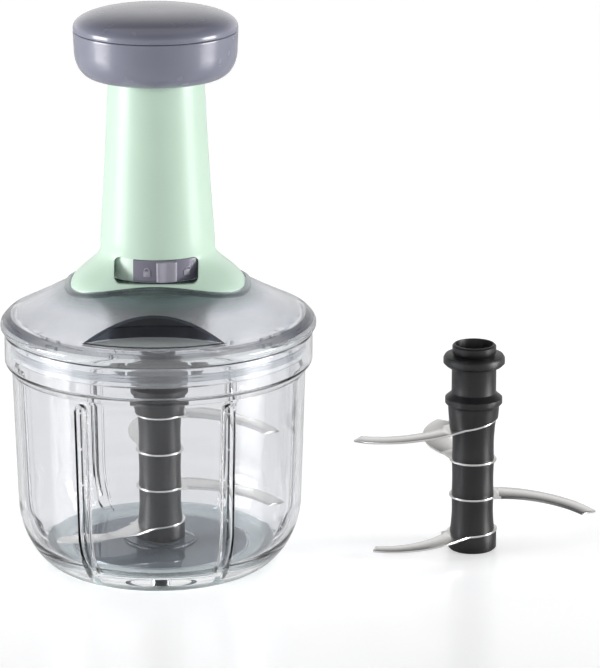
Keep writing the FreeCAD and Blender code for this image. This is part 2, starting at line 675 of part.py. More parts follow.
def dome_block():
    """Everything inside the dome's outer surface, down to the plug's lower edge."""
    line = dome_line(0)
    low = LID_Z - PLUG_DEPTH
    points = [(0, low), (DOME_START_R, low), line[0], line[-1], (0, CROWN_Z)]
    return turned(points, {2: line[1:-1]})


def pocket_tool(grow, floor_z):
    """Lens-shaped upright block for the finger pocket, grown by a wall where wanted."""
    outer_r = POCKET_OUT_R + grow
    half = math.radians(POCKET_HALF_ANGLE + math.degrees(grow / POCKET_OUT_R))
    left = V(-outer_r * math.sin(half), -outer_r * math.cos(half), floor_z)
    right = V(-left.x, left.y, floor_z)
    front = V(0, -outer_r, floor_z)
    inner = V(0, -POCKET_IN_R + grow, floor_z)
    outline = Part.Wire([Part.Arc(left, front, right).toShape(), Part.Arc(right, inner, left).toShape()])
    return Part.Face(outline).extrude(V(0, 0, CROWN_Z - floor_z))


def lid_cover():
    """Smoke-clear lid: bead, dome, finger pocket and the plug that enters the bowl."""
    outer = dome_line(0)
    inner = dome_line(LID_WALL)
    plug_low = LID_Z - PLUG_DEPTH
    plug_in = PLUG_R - PLUG_WALL
    outside = [(0, LID_Z), (LID_EDGE_R, LID_Z), (BEAD_R, LID_Z + BEAD_LOW),
               (BEAD_R, LID_Z + BEAD_HIGH), outer[0], outer[-1], (0, CROWN_Z)]
    block = turned(outside, {4: outer[1:-1]})
    plug = ring(0, PLUG_R, plug_low, LID_Z)
    hollow_top = (inner[-1][0], inner[-1][1])
    hollow = [(0, plug_low), (plug_in, plug_low), (plug_in, LID_Z), (plug_in, inner[0][1]),
              hollow_top, (0, hollow_top[1])]
    space = turned(hollow, {3: inner[1:-1]})
    space = space.cut(pocket_tool(LID_WALL, POCKET_FLOOR_Z - LID_WALL))
    body = block.fuse(plug).cut(space)
    body = body.cut(pocket_tool(0, POCKET_FLOOR_Z))
    body = body.fuse(skirt_lip())
    body = body.cut(ring(0, CROWN_HOLE_R, plug_low, COLUMN_NECK_Z))
    groove_z = plug_low + SEAL_LIFT
    return body.cut(ring(PLUG_R - SEAL_GROOVE, BOWL_MOUTH_R, groove_z, groove_z + SEAL_HEIGHT))


def skirt_lip():
    """Lip that stands on the dome round the column's skirt."""
    raised = dome_block()
    raised.translate(V(0, 0, LIP_HEIGHT))
    sunk = dome_block()
    sunk.translate(V(0, 0, -LID_WALL / 2))
    outside = column_block(-SEAT_GAP - LIP_WALL, 0)
    inside = column_block(-SEAT_GAP, OVERRUN)
    return outside.cut(inside).common(raised).cut(sunk)


def lid_seal():
    """Soft ring in the plug's groove, with two lips that wipe the bowl's mouth."""
    low = LID_Z - PLUG_DEPTH + SEAL_LIFT
    seal_r = BOWL_MOUTH_R - SEAT_GAP
    base_r = PLUG_R - SEAL_GROOVE
    third = SEAL_HEIGHT / 3
    points = [(base_r, low), (PLUG_R, low), (seal_r, low + third * 0.5), (PLUG_R, low + third * 1.3),
              (PLUG_R, low + third * 1.7), (seal_r, low + third * 2.5), (PLUG_R, low + SEAL_HEIGHT),
              (base_r, low + SEAL_HEIGHT)]
    return turned(points)


# ---------------------------------------------------------------- handle column
def rounded_section(half_x, half_y, power, z):
    """Closed smooth outline between an ellipse (power 2) and a rounded box."""
    points = []
    steps = 32
    for i in range(steps):
        angle = 2 * math.pi * i / steps
        c = math.cos(angle)
        s = math.sin(angle)
        x = half_x * math.copysign(abs(c) ** (2 / power), c)
        y = half_y * math.copysign(abs(s) ** (2 / power), s)
        points.append(V(x, y, z))
    spline = Part.BSplineCurve()
    spline.interpolate(Points=points, PeriodicFlag=True)
    return Part.Wire([spline.toShape()])


def shaft_radius(z, inset=0.0):
    """Radius of the column's slightly tapered shaft at a height."""
    share = (z - COLUMN_NECK_Z) / (COLUMN_TOP_Z - COLUMN_NECK_Z)
    ease = share + SHAFT_CROWN * share * (1 - share)
    return COLUMN_NECK_R + (COLUMN_TOP_R - COLUMN_NECK_R) * ease - inset


def smooth_step(share):
    """Eases from 0 to 1."""
    return share * share * (3 - 2 * share)


def skirt_section(drop, inset):
    """Outline of the flare at a drop below the neck: round at the neck, box-like at the edge."""
    share = max(0.0, drop - SKIRT_DELAY) / (SKIRT_DROP - SKIRT_DELAY)
    spread_x = smooth_step(share)
    spread_y = smooth_step(share ** SKIRT_LEAD)
    r = COLUMN_NECK_R - inset
    half_x = r + (SKIRT_A - COLUMN_NECK_R) * spread_x
    half_y = r + (SKIRT_B - COLUMN_NECK_R) * spread_y
    return rounded_section(half_x, half_y, 2.0 + (SKIRT_POWER - 2.0) * spread_x,
                           COLUMN_NECK_Z - drop)


def column_block(inset, overrun):
    """The column and its flared skirt as a full block, from top to below the dome."""
    sections = []
    for step in range(SHAFT_STEPS, 0, -1):
        z = COLUMN_NECK_Z + (COLUMN_TOP_Z - COLUMN_NECK_Z) * step / SHAFT_STEPS
        radius = shaft_radius(z, inset)
        lift = overrun if step == SHAFT_STEPS else 0
        sections.append(rounded_section(radius, radius, 2.0, z + lift))
    for step in range(SKIRT_STEPS + 1):
        sections.append(skirt_section(SKIRT_DROP * step / SKIRT_STEPS, inset))
    sections.append(rounded_section(SKIRT_A - inset, SKIRT_B - inset, SKIRT_POWER,
                                    DOME_START_Z - overrun))
    return Part.makeLoft(sections, True, True)


def window_tool():
    """Block with rounded corners for the slot that shows the lock slider; it spares the sleeve."""
    depth = SKIRT_A
    box = Part.makeBox(2 * WINDOW_HALF, depth, WINDOW_HEIGHT, V(-WINDOW_HALF, -depth, WINDOW_LOW_Z))
    box = rounded(box, WINDOW_CORNER, lambda edge: edge.BoundBox.YLength > depth / 2)
    return box.cut(ring(0, SLEEVE_R, WINDOW_LOW_Z - OVERRUN, WINDOW_TOP_Z + OVERRUN))


def handle_column():
    """Hollow column with its flared skirt on the dome and the guide bore down to the housing."""
    sleeve_top = COLUMN_NECK_Z + SLEEVE_RISE
    buried = SLEEVE_R - GUIDE_SEAT
    shell = column_block(0, 0).cut(column_block(COLUMN_WALL, OVERRUN)).cut(dome_block())
    top_lip = ring(GUIDE_R, COLUMN_TOP_R - COLUMN_WALL / 2, COLUMN_TOP_Z - GUIDE_HEIGHT, COLUMN_TOP_Z)
    sleeve = ring(BORE_R, SLEEVE_R, HOUSING_WEB_TOP, sleeve_top)
    sleeve_flange = ring(buried, COLUMN_NECK_R - COLUMN_WALL / 2, sleeve_top - SLEEVE_FLANGE, sleeve_top)
    collar_top = WINDOW_LOW_Z - TRACK_LAP
    collar = ring(buried, CROWN_R - SEAT_GAP, HOUSING_WEB_TOP, collar_top)
    seat_ring = ring(buried, CROWN_HOLE_R - SEAT_GAP, CROWN_Z - SEAT_RING, collar_top)
    body = joined([shell, top_lip, sleeve, sleeve_flange, collar, seat_ring] + column_ribs())
    body = body.cut(window_tool())
    # track behind the window for the slider's plate, and a slot that its catch reaches through
    track = sector(SLEEVE_R, SLIDER_R + SEAT_GAP, WINDOW_LOW_Z - TRACK_LAP,
                   WINDOW_TOP_Z + TRACK_LAP, -TRACK_HALF_ANGLE, TRACK_HALF_ANGLE)
    slot = sector(BORE_R - OVERRUN, SLEEVE_R, NUT_Z, NUT_Z + CATCH_THICK + 2 * SEAT_GAP,
                  -SLIDER_TRAVEL - CATCH_HALF - CATCH_PLAY, CATCH_HALF + CATCH_PLAY)
    body = body.cut(track).cut(slot)
    hole = Part.makeCylinder(SCREW_R, SCREW_BITE, V(SCREW_CIRCLE_R, 0, HOUSING_WEB_TOP))
    for tool in around(hole, SCREW_COUNT, 45):
        body = body.cut(tool)
    return body


def column_ribs():
    """Upright ribs that keep the plunger from turning."""
    sleeve_top = COLUMN_NECK_Z + SLEEVE_RISE
    top = COLUMN_TOP_Z - GUIDE_HEIGHT
    inner = BORE_R - RIB_REACH
    low_rib = Part.makeBox(RIB_REACH + BORE_WALL / 2, RIB_WIDTH, sleeve_top - HOUSING_WEB_TOP,
                           V(inner, -RIB_WIDTH / 2, HOUSING_WEB_TOP))
    high_rib = Part.makeBox(COLUMN_NECK_R - inner, RIB_WIDTH, top - sleeve_top + SLEEVE_FLANGE / 2,
                            V(inner, -RIB_WIDTH / 2, sleeve_top - SLEEVE_FLANGE / 2))
    high_rib = high_rib.common(column_block(COLUMN_WALL / 2, 0))
    return around(joined([low_rib, high_rib]), RIB_COUNT, 45)


def column_guide():
    """Slippery ring at the top of the column that guides the plunger tube."""
    return ring(TUBE_R + RUNNING_FIT, GUIDE_R, COLUMN_TOP_Z - GUIDE_HEIGHT, COLUMN_TOP_Z - GUIDE_SUNK)


# ---------------------------------------------------------------- drive housing
def drive_housing():
    """Dark cup under the lid: skirt round the drive hub, web for the bush, cone up to the dome."""
    under_dome = dome_line(LID_WALL)
    # the rim meets the dome, which bulges a little over the straight slope
    share = (DOME_START_R - HOUSING_RIM_R) / (DOME_START_R - CROWN_R)
    top_z = under_dome[0][1] + (under_dome[-1][1] - under_dome[0][1]) * share + SEAT_GAP / 3
    rim_in = HOUSING_RIM_R - HOUSING_WALL
    cone_z = WEB_Z - CONE_FOOT / 5
    points = [(HOUSING_SKIRT_IN, HOUSING_LOW_Z), (HOUSING_R - HOUSING_EDGE, HOUSING_LOW_Z),
              (HOUSING_R, HOUSING_LOW_Z + HOUSING_EDGE), (HOUSING_R, cone_z - CONE_FOOT),
              (HOUSING_R + CONE_STEP, cone_z), (HOUSING_RIM_R, top_z - HOUSING_RIM),
              (HOUSING_RIM_R, top_z - HOUSING_EDGE), (rim_in, top_z),
              (rim_in, top_z - HOUSING_RIM + HOUSING_EDGE), (CROWN_R + OVERRUN, HOUSING_WEB_TOP),
              (BUSH_R, HOUSING_WEB_TOP), (BUSH_R, WEB_Z), (HOUSING_CHAMBER_R, WEB_Z),
              (HOUSING_CHAMBER_R, RETAINER_TOP), (HOUSING_SKIRT_IN, RETAINER_TOP)]
    body = turned(points)
    hole = Part.makeCylinder(SCREW_R, WEB_THICK, V(SCREW_CIRCLE_R, 0, WEB_Z))
    well = Part.makeCylinder(SCREW_HEAD_R + SEAT_GAP, WEB_Z - HOUSING_LOW_Z,
                             V(SCREW_CIRCLE_R, 0, HOUSING_LOW_Z))
    pilot = Part.makeCylinder(SCREW_R, SCREW_BITE, V(RETAINER_SCREW_CIRCLE_R, 0, RETAINER_TOP))
    tools = around(hole, SCREW_COUNT, 45) + around(well, SCREW_COUNT, 45)
    for tool in tools + around(pilot, RETAINER_SCREWS):
        body = body.cut(tool)
    return body


def screw(shank_low, head_low, circle_r, length):
    """Cross-slotted screw that points up, with its head's underside at shank_low."""
    head = Part.makeCylinder(SCREW_HEAD_R, shank_low - head_low, V(circle_r, 0, head_low))
    reach = SCREW_HEAD_R * 0.75
    slot = Part.makeBox(2 * reach, SCREW_SLOT, SCREW_SLOT,
                        V(circle_r - reach, -SCREW_SLOT / 2, head_low))
    cross = slot.copy()
    cross.rotate(V(circle_r, 0, 0), UP, 90)
    shank = Part.makeCylinder(SCREW_R, length, V(circle_r, 0, shank_low))
    return head.cut(slot).cut(cross).fuse(shank).removeSplitter()


def housing_screws():
    """Screws up through the housing's web into the foot of the column's sleeve."""
    one = screw(WEB_Z, WEB_Z - SCREW_HEAD, SCREW_CIRCLE_R, WEB_THICK + SCREW_BITE)
    return Part.makeCompound(around(one, SCREW_COUNT, 45))


def hub_retainer():
    """Ring in the housing's mouth that the drive hub rests on."""
    body = ring(RETAINER_BORE_R, HOUSING_SKIRT_IN, RETAINER_Z, RETAINER_TOP)
    hole = Part.makeCylinder(SCREW_R, RETAINER_THICK, V(RETAINER_SCREW_CIRCLE_R, 0, RETAINER_Z))
    for tool in around(hole, RETAINER_SCREWS):
        body = body.cut(tool)
    return body


def retainer_screws():
    """Screws that hold the retainer up in the housing."""
    one = screw(RETAINER_Z, RETAINER_Z - SCREW_HEAD, RETAINER_SCREW_CIRCLE_R,
                RETAINER_THICK + SCREW_BITE)
    return Part.makeCompound(around(one, RETAINER_SCREWS))


def rod_bush():
    """Brass bush in the web that carries the twisted rod."""
    flange = ring(ROD_R + RUNNING_FIT, BUSH_R + BUSH_FLANGE_PROUD, WEB_Z - BUSH_FLANGE, WEB_Z)
    return joined([ring(ROD_R + RUNNING_FIT, BUSH_R, WEB_Z, HOUSING_WEB_TOP), flange])


def spring_seat():
    """Steel washer under the return spring."""
    return ring(BUSH_R + BUSH_FLANGE_PROUD, BORE_R - RIB_REACH - RUNNING_FIT, HOUSING_WEB_TOP,
                HOUSING_WEB_TOP + WASHER_THICK)


def coil(radius, wire, low, high, turns):
    """Helical spring between two heights."""
    z_low = low + wire / 2 + RUNNING_FIT
    height = high - low - wire - 2 * RUNNING_FIT
    helix = Part.makeHelix(height / turns, height, radius)
    helix.translate(V(0, 0, z_low))
    along = V(0, 2 * math.pi * radius, height / turns)
    circle = Part.Wire([Part.makeCircle(wire / 2, V(radius, 0, z_low), along)])
    return Part.Wire(helix.Edges).makePipeShell([circle], True, True)


def return_spring():
    """Spring between the seat and the plunger's flange, pressed to its shortest."""
    radius = BORE_R - RIB_REACH - SPRING_WIRE / 2 - SEAT_GAP
    return coil(radius, SPRING_WIRE, HOUSING_WEB_TOP + WASHER_THICK, FLANGE_Z, SPRING_TURNS)


# ---------------------------------------------------------------- plunger and knob
def plunger_tube():
    """Tube that carries the knob and slides in the column's guide ring."""
    return ring(TUBE_R - PLUNGER_WALL, TUBE_R, NUT_Z, KNOB_HUB_TOP - PLUNGER_WALL)


def drive_nut():
    """Nut with its guide flange; two studs ride in the rod's grooves."""
    bore_r = ROD_R + RUNNING_FIT
    notch_width = RIB_WIDTH + 2 * SEAT_GAP
    catch_edge = CATCH_HALF + CATCH_PLAY
    flange = ring(bore_r, BORE_R - SEAT_GAP, FLANGE_Z, NUT_Z)
    notch = Part.makeBox(3 * RIB_REACH, notch_width, NUT_FLANGE,
                         V(BORE_R - RIB_REACH - SEAT_GAP, -notch_width / 2, FLANGE_Z))
    catch_gap = sector(BORE_R - CATCH_REACH - SEAT_GAP, BORE_R, FLANGE_Z, NUT_Z, -catch_edge, catch_edge)
    for tool in around(notch, RIB_COUNT, 45) + [catch_gap]:
        flange = flange.cut(tool)
    hub = ring(bore_r, TUBE_R - PLUNGER_WALL, NUT_Z, NUT_Z + NUT_HUB)
    turn = 360.0 * (STUD_Z - GROOVE_LOW_Z) / LEAD
    stud_tip = ROD_R - GROOVE_R / 2
    stud = Part.makeCylinder(STUD_R, ROD_R + STUD_ROOT - stud_tip, V(stud_tip, 0, STUD_Z), V(1, 0, 0))
    return joined([flange, hub] + around(stud, 2, turn))


def buffer_ring():
    """Soft ring under the knob that meets the top of the column."""
    low = KNOB_LOW_Z - SEAT_GAP
    return ring(BUFFER_R - BUFFER_SECTION / 2, BUFFER_R + BUFFER_SECTION / 2, low, low + BUFFER_SECTION)


def knob_side(share, inset=0.0):
    """Point on the round under the knob, from its flat underside (0) to its side (1)."""
    angle = share * math.pi / 2
    r = KNOB_LOW_R + (KNOB_SIDE_R - KNOB_LOW_R) * math.sin(angle) ** KNOB_ROUND
    z = KNOB_LOW_Z + (KNOB_SIDE_Z - KNOB_LOW_Z) * (1 - math.cos(angle) ** KNOB_ROUND)
    return (r - inset * math.sin(angle), z + inset * math.cos(angle))


def knob_base():
    """Lower shell of the knob, with the hub that holds the plunger tube."""
    floor_top = KNOB_LOW_Z + KNOB_WALL
    seam_in = KNOB_MAX_R - KNOB_WALL
    shares = (0.2, 0.4, 0.6, 0.8)
    points = [(TUBE_R, KNOB_LOW_Z), (KNOB_LOW_R, KNOB_LOW_Z), (KNOB_SIDE_R, KNOB_SIDE_Z),
              (KNOB_MAX_R, SEAM_Z - SEAM_STEP), (KNOB_MAX_R - SEAM_STEP, SEAM_Z), (seam_in, SEAM_Z),
              (KNOB_SIDE_R - KNOB_WALL, KNOB_SIDE_Z), (KNOB_LOW_R, floor_top),
              (KNOB_HUB_R, floor_top), (KNOB_HUB_R, KNOB_HUB_TOP), (TUBE_R, KNOB_HUB_TOP)]
    outer_bend = [knob_side(share) for share in shares]
    inner_bend = [knob_side(share, KNOB_WALL) for share in reversed(shares)]
    body = turned(points, {1: outer_bend, 6: inner_bend})
    cover = ring(0, TUBE_R, KNOB_HUB_TOP - PLUNGER_WALL, KNOB_HUB_TOP)
    body = joined([body, cover]).cut(buffer_ring())
    hole = Part.makeCylinder(SCREW_R, KNOB_WALL, V(KNOB_SCREW_CIRCLE_R, 0, KNOB_LOW_Z))
    sink = Part.makeCylinder(SCREW_HEAD_R + SEAT_GAP, KNOB_WALL / 2,
                             V(KNOB_SCREW_CIRCLE_R, 0, KNOB_LOW_Z))
    for tool in around(hole, KNOB_SCREWS, 90) + around(sink, KNOB_SCREWS, 90):
        body = body.cut(tool)
    return body


def cap_point(share, inset=0.0):
    """Point on the cap's dome, from its edge (0) to its top (1)."""
    angle = share * math.pi / 2
    low = SEAM_Z + CAP_EDGE
    r = KNOB_MAX_R * math.cos(angle) ** CAP_ROUND
    z = low + (KNOB_TOP_Z - low) * math.sin(angle) ** CAP_ROUND
    return (max(r - inset * math.cos(angle), 0), z - inset * math.sin(angle))


def knob_cap():
    """Domed upper shell of the knob with its screw bosses."""
    shares = (0.12, 0.25, 0.4, 0.55, 0.7, 0.85)
    start = cap_point(0)
    inner_r = KNOB_MAX_R - KNOB_WALL
    points = [(inner_r, SEAM_Z), (KNOB_MAX_R - SEAM_STEP, SEAM_Z), (KNOB_MAX_R, SEAM_Z + SEAM_STEP),
              start, (0, KNOB_TOP_Z), (0, KNOB_TOP_Z - KNOB_WALL), (inner_r, start[1])]
    outer_bend = [cap_point(share) for share in shares]
    inner_bend = [cap_point(share, KNOB_WALL) for share in reversed(shares)]
    body = turned(points, {3: outer_bend, 5: inner_bend})
    boss_low = KNOB_LOW_Z + KNOB_WALL
    boss = Part.makeCylinder(KNOB_BOSS_R, KNOB_TOP_Z - boss_low,
                             V(KNOB_SCREW_CIRCLE_R, 0, boss_low))
    hole = Part.makeCylinder(SCREW_R, SCREW_BITE, V(KNOB_SCREW_CIRCLE_R, 0, boss_low))
    sunk = KNOB_WALL / 2
    block_points = [(0, boss_low), (inner_r, boss_low), (inner_r, start[1]), (0, KNOB_TOP_Z - sunk)]
    block = turned(block_points, {2: [cap_point(share, sunk) for share in shares]})
    bosses = [piece.common(block) for piece in around(boss.cut(hole), KNOB_SCREWS, 90)]
    return joined([body] + bosses)


def knob_screws():
    """Screws up through the knob's floor into the cap's bosses."""
    seat = KNOB_LOW_Z + KNOB_WALL / 2
    one = screw(seat, KNOB_LOW_Z, KNOB_SCREW_CIRCLE_R, KNOB_WALL / 2 + SCREW_BITE)
    return Part.makeCompound(around(one, KNOB_SCREWS, 90))


# ---------------------------------------------------------------- rod and clutch
def screw_rod():
    """Steel rod with two helical grooves; its square foot drives the clutch."""
    shaft = Part.makeCylinder(ROD_R, ROD_TOP_Z - DRIVER_Z, V(0, 0, DRIVER_Z))
    foot = Part.makeCylinder(FOOT_OF_ROD_R, DRIVER_Z - ROD_LOW_Z, V(0, 0, ROD_LOW_Z))
    body = joined([shaft, foot])
    height = ROD_TOP_Z + ROD_R - GROOVE_LOW_Z
    for turn in (0.0, 180.0):
        helix = Part.makeHelix(LEAD, height, ROD_R)
        along = V(0, 2 * math.pi * ROD_R, LEAD)
        circle = Part.Wire([Part.makeCircle(GROOVE_R, V(ROD_R, 0, 0), along)])
        groove = Part.Wire(helix.Edges).makePipeShell([circle], True, True)
        groove.rotate(ORIGIN, UP, turn)
        groove.translate(V(0, 0, GROOVE_LOW_Z))
        body = body.cut(groove)
    return body


def tooth_face(radius, steep, slope, z_root, rise):
    """Triangular section of a saw tooth at a radius; steep and slope are angles in degrees."""
    corners = []
    for angle, z in ((steep, z_root), (slope, z_root), (steep, z_root + rise), (steep, z_root)):
        turn = math.radians(angle)
        corners.append(V(radius * math.cos(turn), radius * math.sin(turn), z))
    return Part.makePolygon(corners)


def clutch_teeth(z_root, direction):
    """Ring of saw teeth that stand up (1) or hang down (-1) from a root plane."""
    pitch = 360.0 / TEETH
    gap = math.degrees(CLUTCH_GAP / TOOTH_OUT_R)
    steep = 0.0 if direction > 0 else pitch - gap
    slope = steep + direction * pitch * TOOTH_FILL
    rise = direction * TOOTH_HEIGHT
    sections = [tooth_face(r, steep, slope, z_root, rise) for r in (TOOTH_IN_R, TOOTH_OUT_R)]
    return around(Part.makeLoft(sections, True, True), TEETH)


def ratchet_driver():
    """Upper half of the one-way clutch, keyed to the rod."""
    plate = ring(ROD_R, HUB_R, DRIVER_Z, DRIVER_Z + DRIVER_PLATE)
    hub = ring(ROD_R, ROD_R + DRIVER_HUB_WALL, DRIVER_Z + DRIVER_PLATE, WEB_Z - BUSH_FLANGE - SEAT_GAP)
    return joined([plate, hub] + clutch_teeth(DRIVER_Z, -1))


def clutch_spring():
    """Light spring that keeps the two halves of the clutch together."""
    return coil(ROD_R + CLUTCH_SPRING_GAP, CLUTCH_SPRING_WIRE, DRIVER_Z + DRIVER_PLATE, WEB_Z - BUSH_FLANGE,
                CLUTCH_SPRING_TURNS)


def rod_clip():
    """Spring clip on the rod that rests on the bush."""
    low = HOUSING_WEB_TOP + SEAT_GAP
    return ring(ROD_R, CLIP_R, low, low + CLIP_THICK)


def drive_hub():
    """Lower half of the clutch with the stub that drives the blade unit."""
    plate = ring(0, HUB_R, HUB_Z, HUB_Z + HUB_PLATE)
    stub = ring(0, STUB_R, HUB_Z - STUB_LENGTH, HUB_Z)
    slot_width = DOG_WIDTH + 2 * SEAT_GAP
    slot = Part.makeBox(STUB_R, slot_width, STUB_LENGTH,
                        V(SOCKET_R - DOG_REACH - SEAT_GAP, -slot_width / 2, HUB_Z - STUB_LENGTH))
    for tool in around(slot, SOCKET_DOGS, 45):
        stub = stub.cut(tool)
    stub = stub.cut(ring(0, STUB_BORE_R, HUB_Z - STUB_LENGTH, ROD_LOW_Z - HUB_PLATE))
    body = joined([plate, stub] + clutch_teeth(HUB_Z + HUB_PLATE, 1))
    bore = ring(0, FOOT_OF_ROD_R + RUNNING_FIT, ROD_LOW_Z - SEAT_GAP, HUB_Z + HUB_PLATE)
    return body.cut(bore)


# ---------------------------------------------------------------- lock slider
def lock_slider():
    """Curved slider in the column's window: hidden track plate, face and thumb ridge."""
    low = WINDOW_LOW_Z + SEAT_GAP
    high = WINDOW_TOP_Z - SEAT_GAP
    lap = TRACK_LAP - SEAT_GAP
    plate = sector(SLIDER_IN_R, SLIDER_R, low - lap, high + lap, SLIDER_LEFT,
                   SLIDER_RIGHT + SLIDER_HIDDEN)
    face = sector(SLIDER_R - SLIDER_TRACK / 2, SLIDER_FACE_R, low, high, SLIDER_LEFT, SLIDER_RIGHT)
    thumb = sector(SLIDER_FACE_R - THUMB_INSET, SLIDER_FACE_R + THUMB_PROUD, low + THUMB_INSET,
                   high - THUMB_INSET, THUMB_LEFT, THUMB_RIGHT)
    catch_low = NUT_Z + SEAT_GAP
    catch = sector(BORE_R - CATCH_REACH, SLIDER_R - SLIDER_TRACK / 2, catch_low,
                   catch_low + CATCH_THICK, -CATCH_HALF, CATCH_HALF)
    return joined([plate, face, thumb, catch])


# ---------------------------------------------------------------- build
def main():
    """Writes every node."""
    save("bowl", bowl())
    save("base_pad", base_pad())
    save("centre_pin", centre_pin())
    blade_unit("", blade_set(102, -3, 0, 7), V(0, 0, UNIT_Z))
    blade_unit("spare_", blade_set(115, 192, 13, -6), V(SPARE_X, SPARE_Y, 0))
    save("lid_cover", lid_cover())
    save("lid_seal", lid_seal())
    save("handle_column", handle_column())
    save("column_guide", column_guide())
    save("drive_housing", drive_housing())
    save("housing_screws", housing_screws())
    save("hub_retainer", hub_retainer())
    save("retainer_screws", retainer_screws())
    save("rod_bush", rod_bush())
    save("spring_seat", spring_seat())
    save("return_spring", return_spring())
    save("plunger_tube", plunger_tube())
    save("drive_nut", drive_nut())
    save("buffer_ring", buffer_ring())
    save("knob_base", knob_base())
    save("knob_cap", knob_cap())
    save("knob_screws", knob_screws())
    save("screw_rod", screw_rod())
    save("ratchet_driver", ratchet_driver())
    save("clutch_spring", clutch_spring())
    save("rod_clip", rod_clip())
    save("drive_hub", drive_hub())
    save("lock_slider", lock_slider())


main()
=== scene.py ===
"""Hand-pressed food chopper: clear bowl, smoke lid, mint column, press knob and two blade units."""
import json
import logging
import math
from dataclasses import dataclass
from enum import Enum
from typing import Callable, Iterable, Sequence, Union

import bmesh
import bpy
from mathutils import Matrix, Vector


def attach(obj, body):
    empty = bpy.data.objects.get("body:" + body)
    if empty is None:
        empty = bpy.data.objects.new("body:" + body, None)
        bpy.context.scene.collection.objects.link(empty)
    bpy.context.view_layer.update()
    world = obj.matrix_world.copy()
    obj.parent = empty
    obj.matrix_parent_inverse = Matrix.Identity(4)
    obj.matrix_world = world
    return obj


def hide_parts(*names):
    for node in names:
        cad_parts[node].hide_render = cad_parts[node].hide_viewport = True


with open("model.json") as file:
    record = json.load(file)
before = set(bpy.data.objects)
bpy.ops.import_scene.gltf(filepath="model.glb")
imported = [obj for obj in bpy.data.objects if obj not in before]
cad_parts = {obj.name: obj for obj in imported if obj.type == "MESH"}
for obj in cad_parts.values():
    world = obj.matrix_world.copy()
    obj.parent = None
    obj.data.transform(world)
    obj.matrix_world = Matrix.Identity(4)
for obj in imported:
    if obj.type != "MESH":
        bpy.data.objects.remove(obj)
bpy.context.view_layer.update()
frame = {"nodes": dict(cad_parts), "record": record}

MM = 0.001
FULL_TURN = 2 * math.pi
FRONT = -math.pi / 2
UP = Vector((0, 0, 1))
ORIGIN = Vector((0, 0, 0))
LOG = logging.getLogger("chopper")

Pair = tuple[float, float]
Colour = tuple[float, float, float]
Tone = tuple[float, float, float, float]


# ---------------------------------------------------------------- small sums
def ease(share: float) -> float:
    """Smooth step from 0 to 1, flat at both ends."""
    share = min(max(share, 0.0), 1.0)
    return share * share * (3 - 2 * share)


def linear(colour: Colour, gain: float = 1.0) -> Tone:
    """Turns a colour as seen on a screen into the linear one that a shader takes.

    Args:
        colour: red, green and blue, 0 to 1.
        gain: factor on the linear values.

    Returns:
        Linear red, green, blue and an alpha of 1.
    """
    parts = [c / 12.92 if c <= 0.04045 else ((c + 0.055) / 1.055) ** 2.4 for c in colour]
    return (*(min(1.0, part * gain) for part in parts), 1.0)


def polar(r: float, angle: float, z: float = 0.0) -> Vector:
    """Point at a radius, an angle about the axis and a height."""
    return Vector((r * math.cos(angle), r * math.sin(angle), z))


def rounded_outline(corners: Sequence[tuple[float, float, float]], segments: int = 5) -> list[Pair]:
    """Rounds the corners of a closed outline.

    Args:
        corners: radius, height and rounding of each corner, in order.
        segments: straight pieces in each rounding.

    Returns:
        Points of the rounded outline.
    """
    points: list[Pair] = []
    count = len(corners)
    for index, (r, z, rounding) in enumerate(corners):
        here = Vector((r, z))
        if rounding <= 0:
            points.append((r, z))
            continue
        back = Vector(corners[index - 1][:2]) - here
        on = Vector(corners[(index + 1) % count][:2]) - here
        reach = min(rounding, back.length * 0.49, on.length * 0.49)
        start = here + back.normalized() * reach
        end = here + on.normalized() * reach
        for step in range(segments + 1):
            t = step / segments
            bend = start * (1 - t) ** 2 + here * 2 * t * (1 - t) + end * t * t
            points.append((bend.x, bend.y))
    return points


def held(outline: Sequence[Pair], margin: float = 0.35) -> list[Pair]:
    """Adds a point near both ends of each long run, so that smooth shading keeps it straight.

    Args:
        outline: points of a closed outline.
        margin: distance of the added points from the ends.

    Returns:
        The outline with the added points.
    """
    points: list[Pair] = []
    for (r, z), (on_r, on_z) in zip(outline, [*outline[1:], outline[0]]):
        points.append((r, z))
        length = math.hypot(on_r - r, on_z - z)
        if length > 4 * margin:
            for share in (margin / length, 1 - margin / length):
                points.append((r + (on_r - r) * share, z + (on_z - z) * share))
    return points


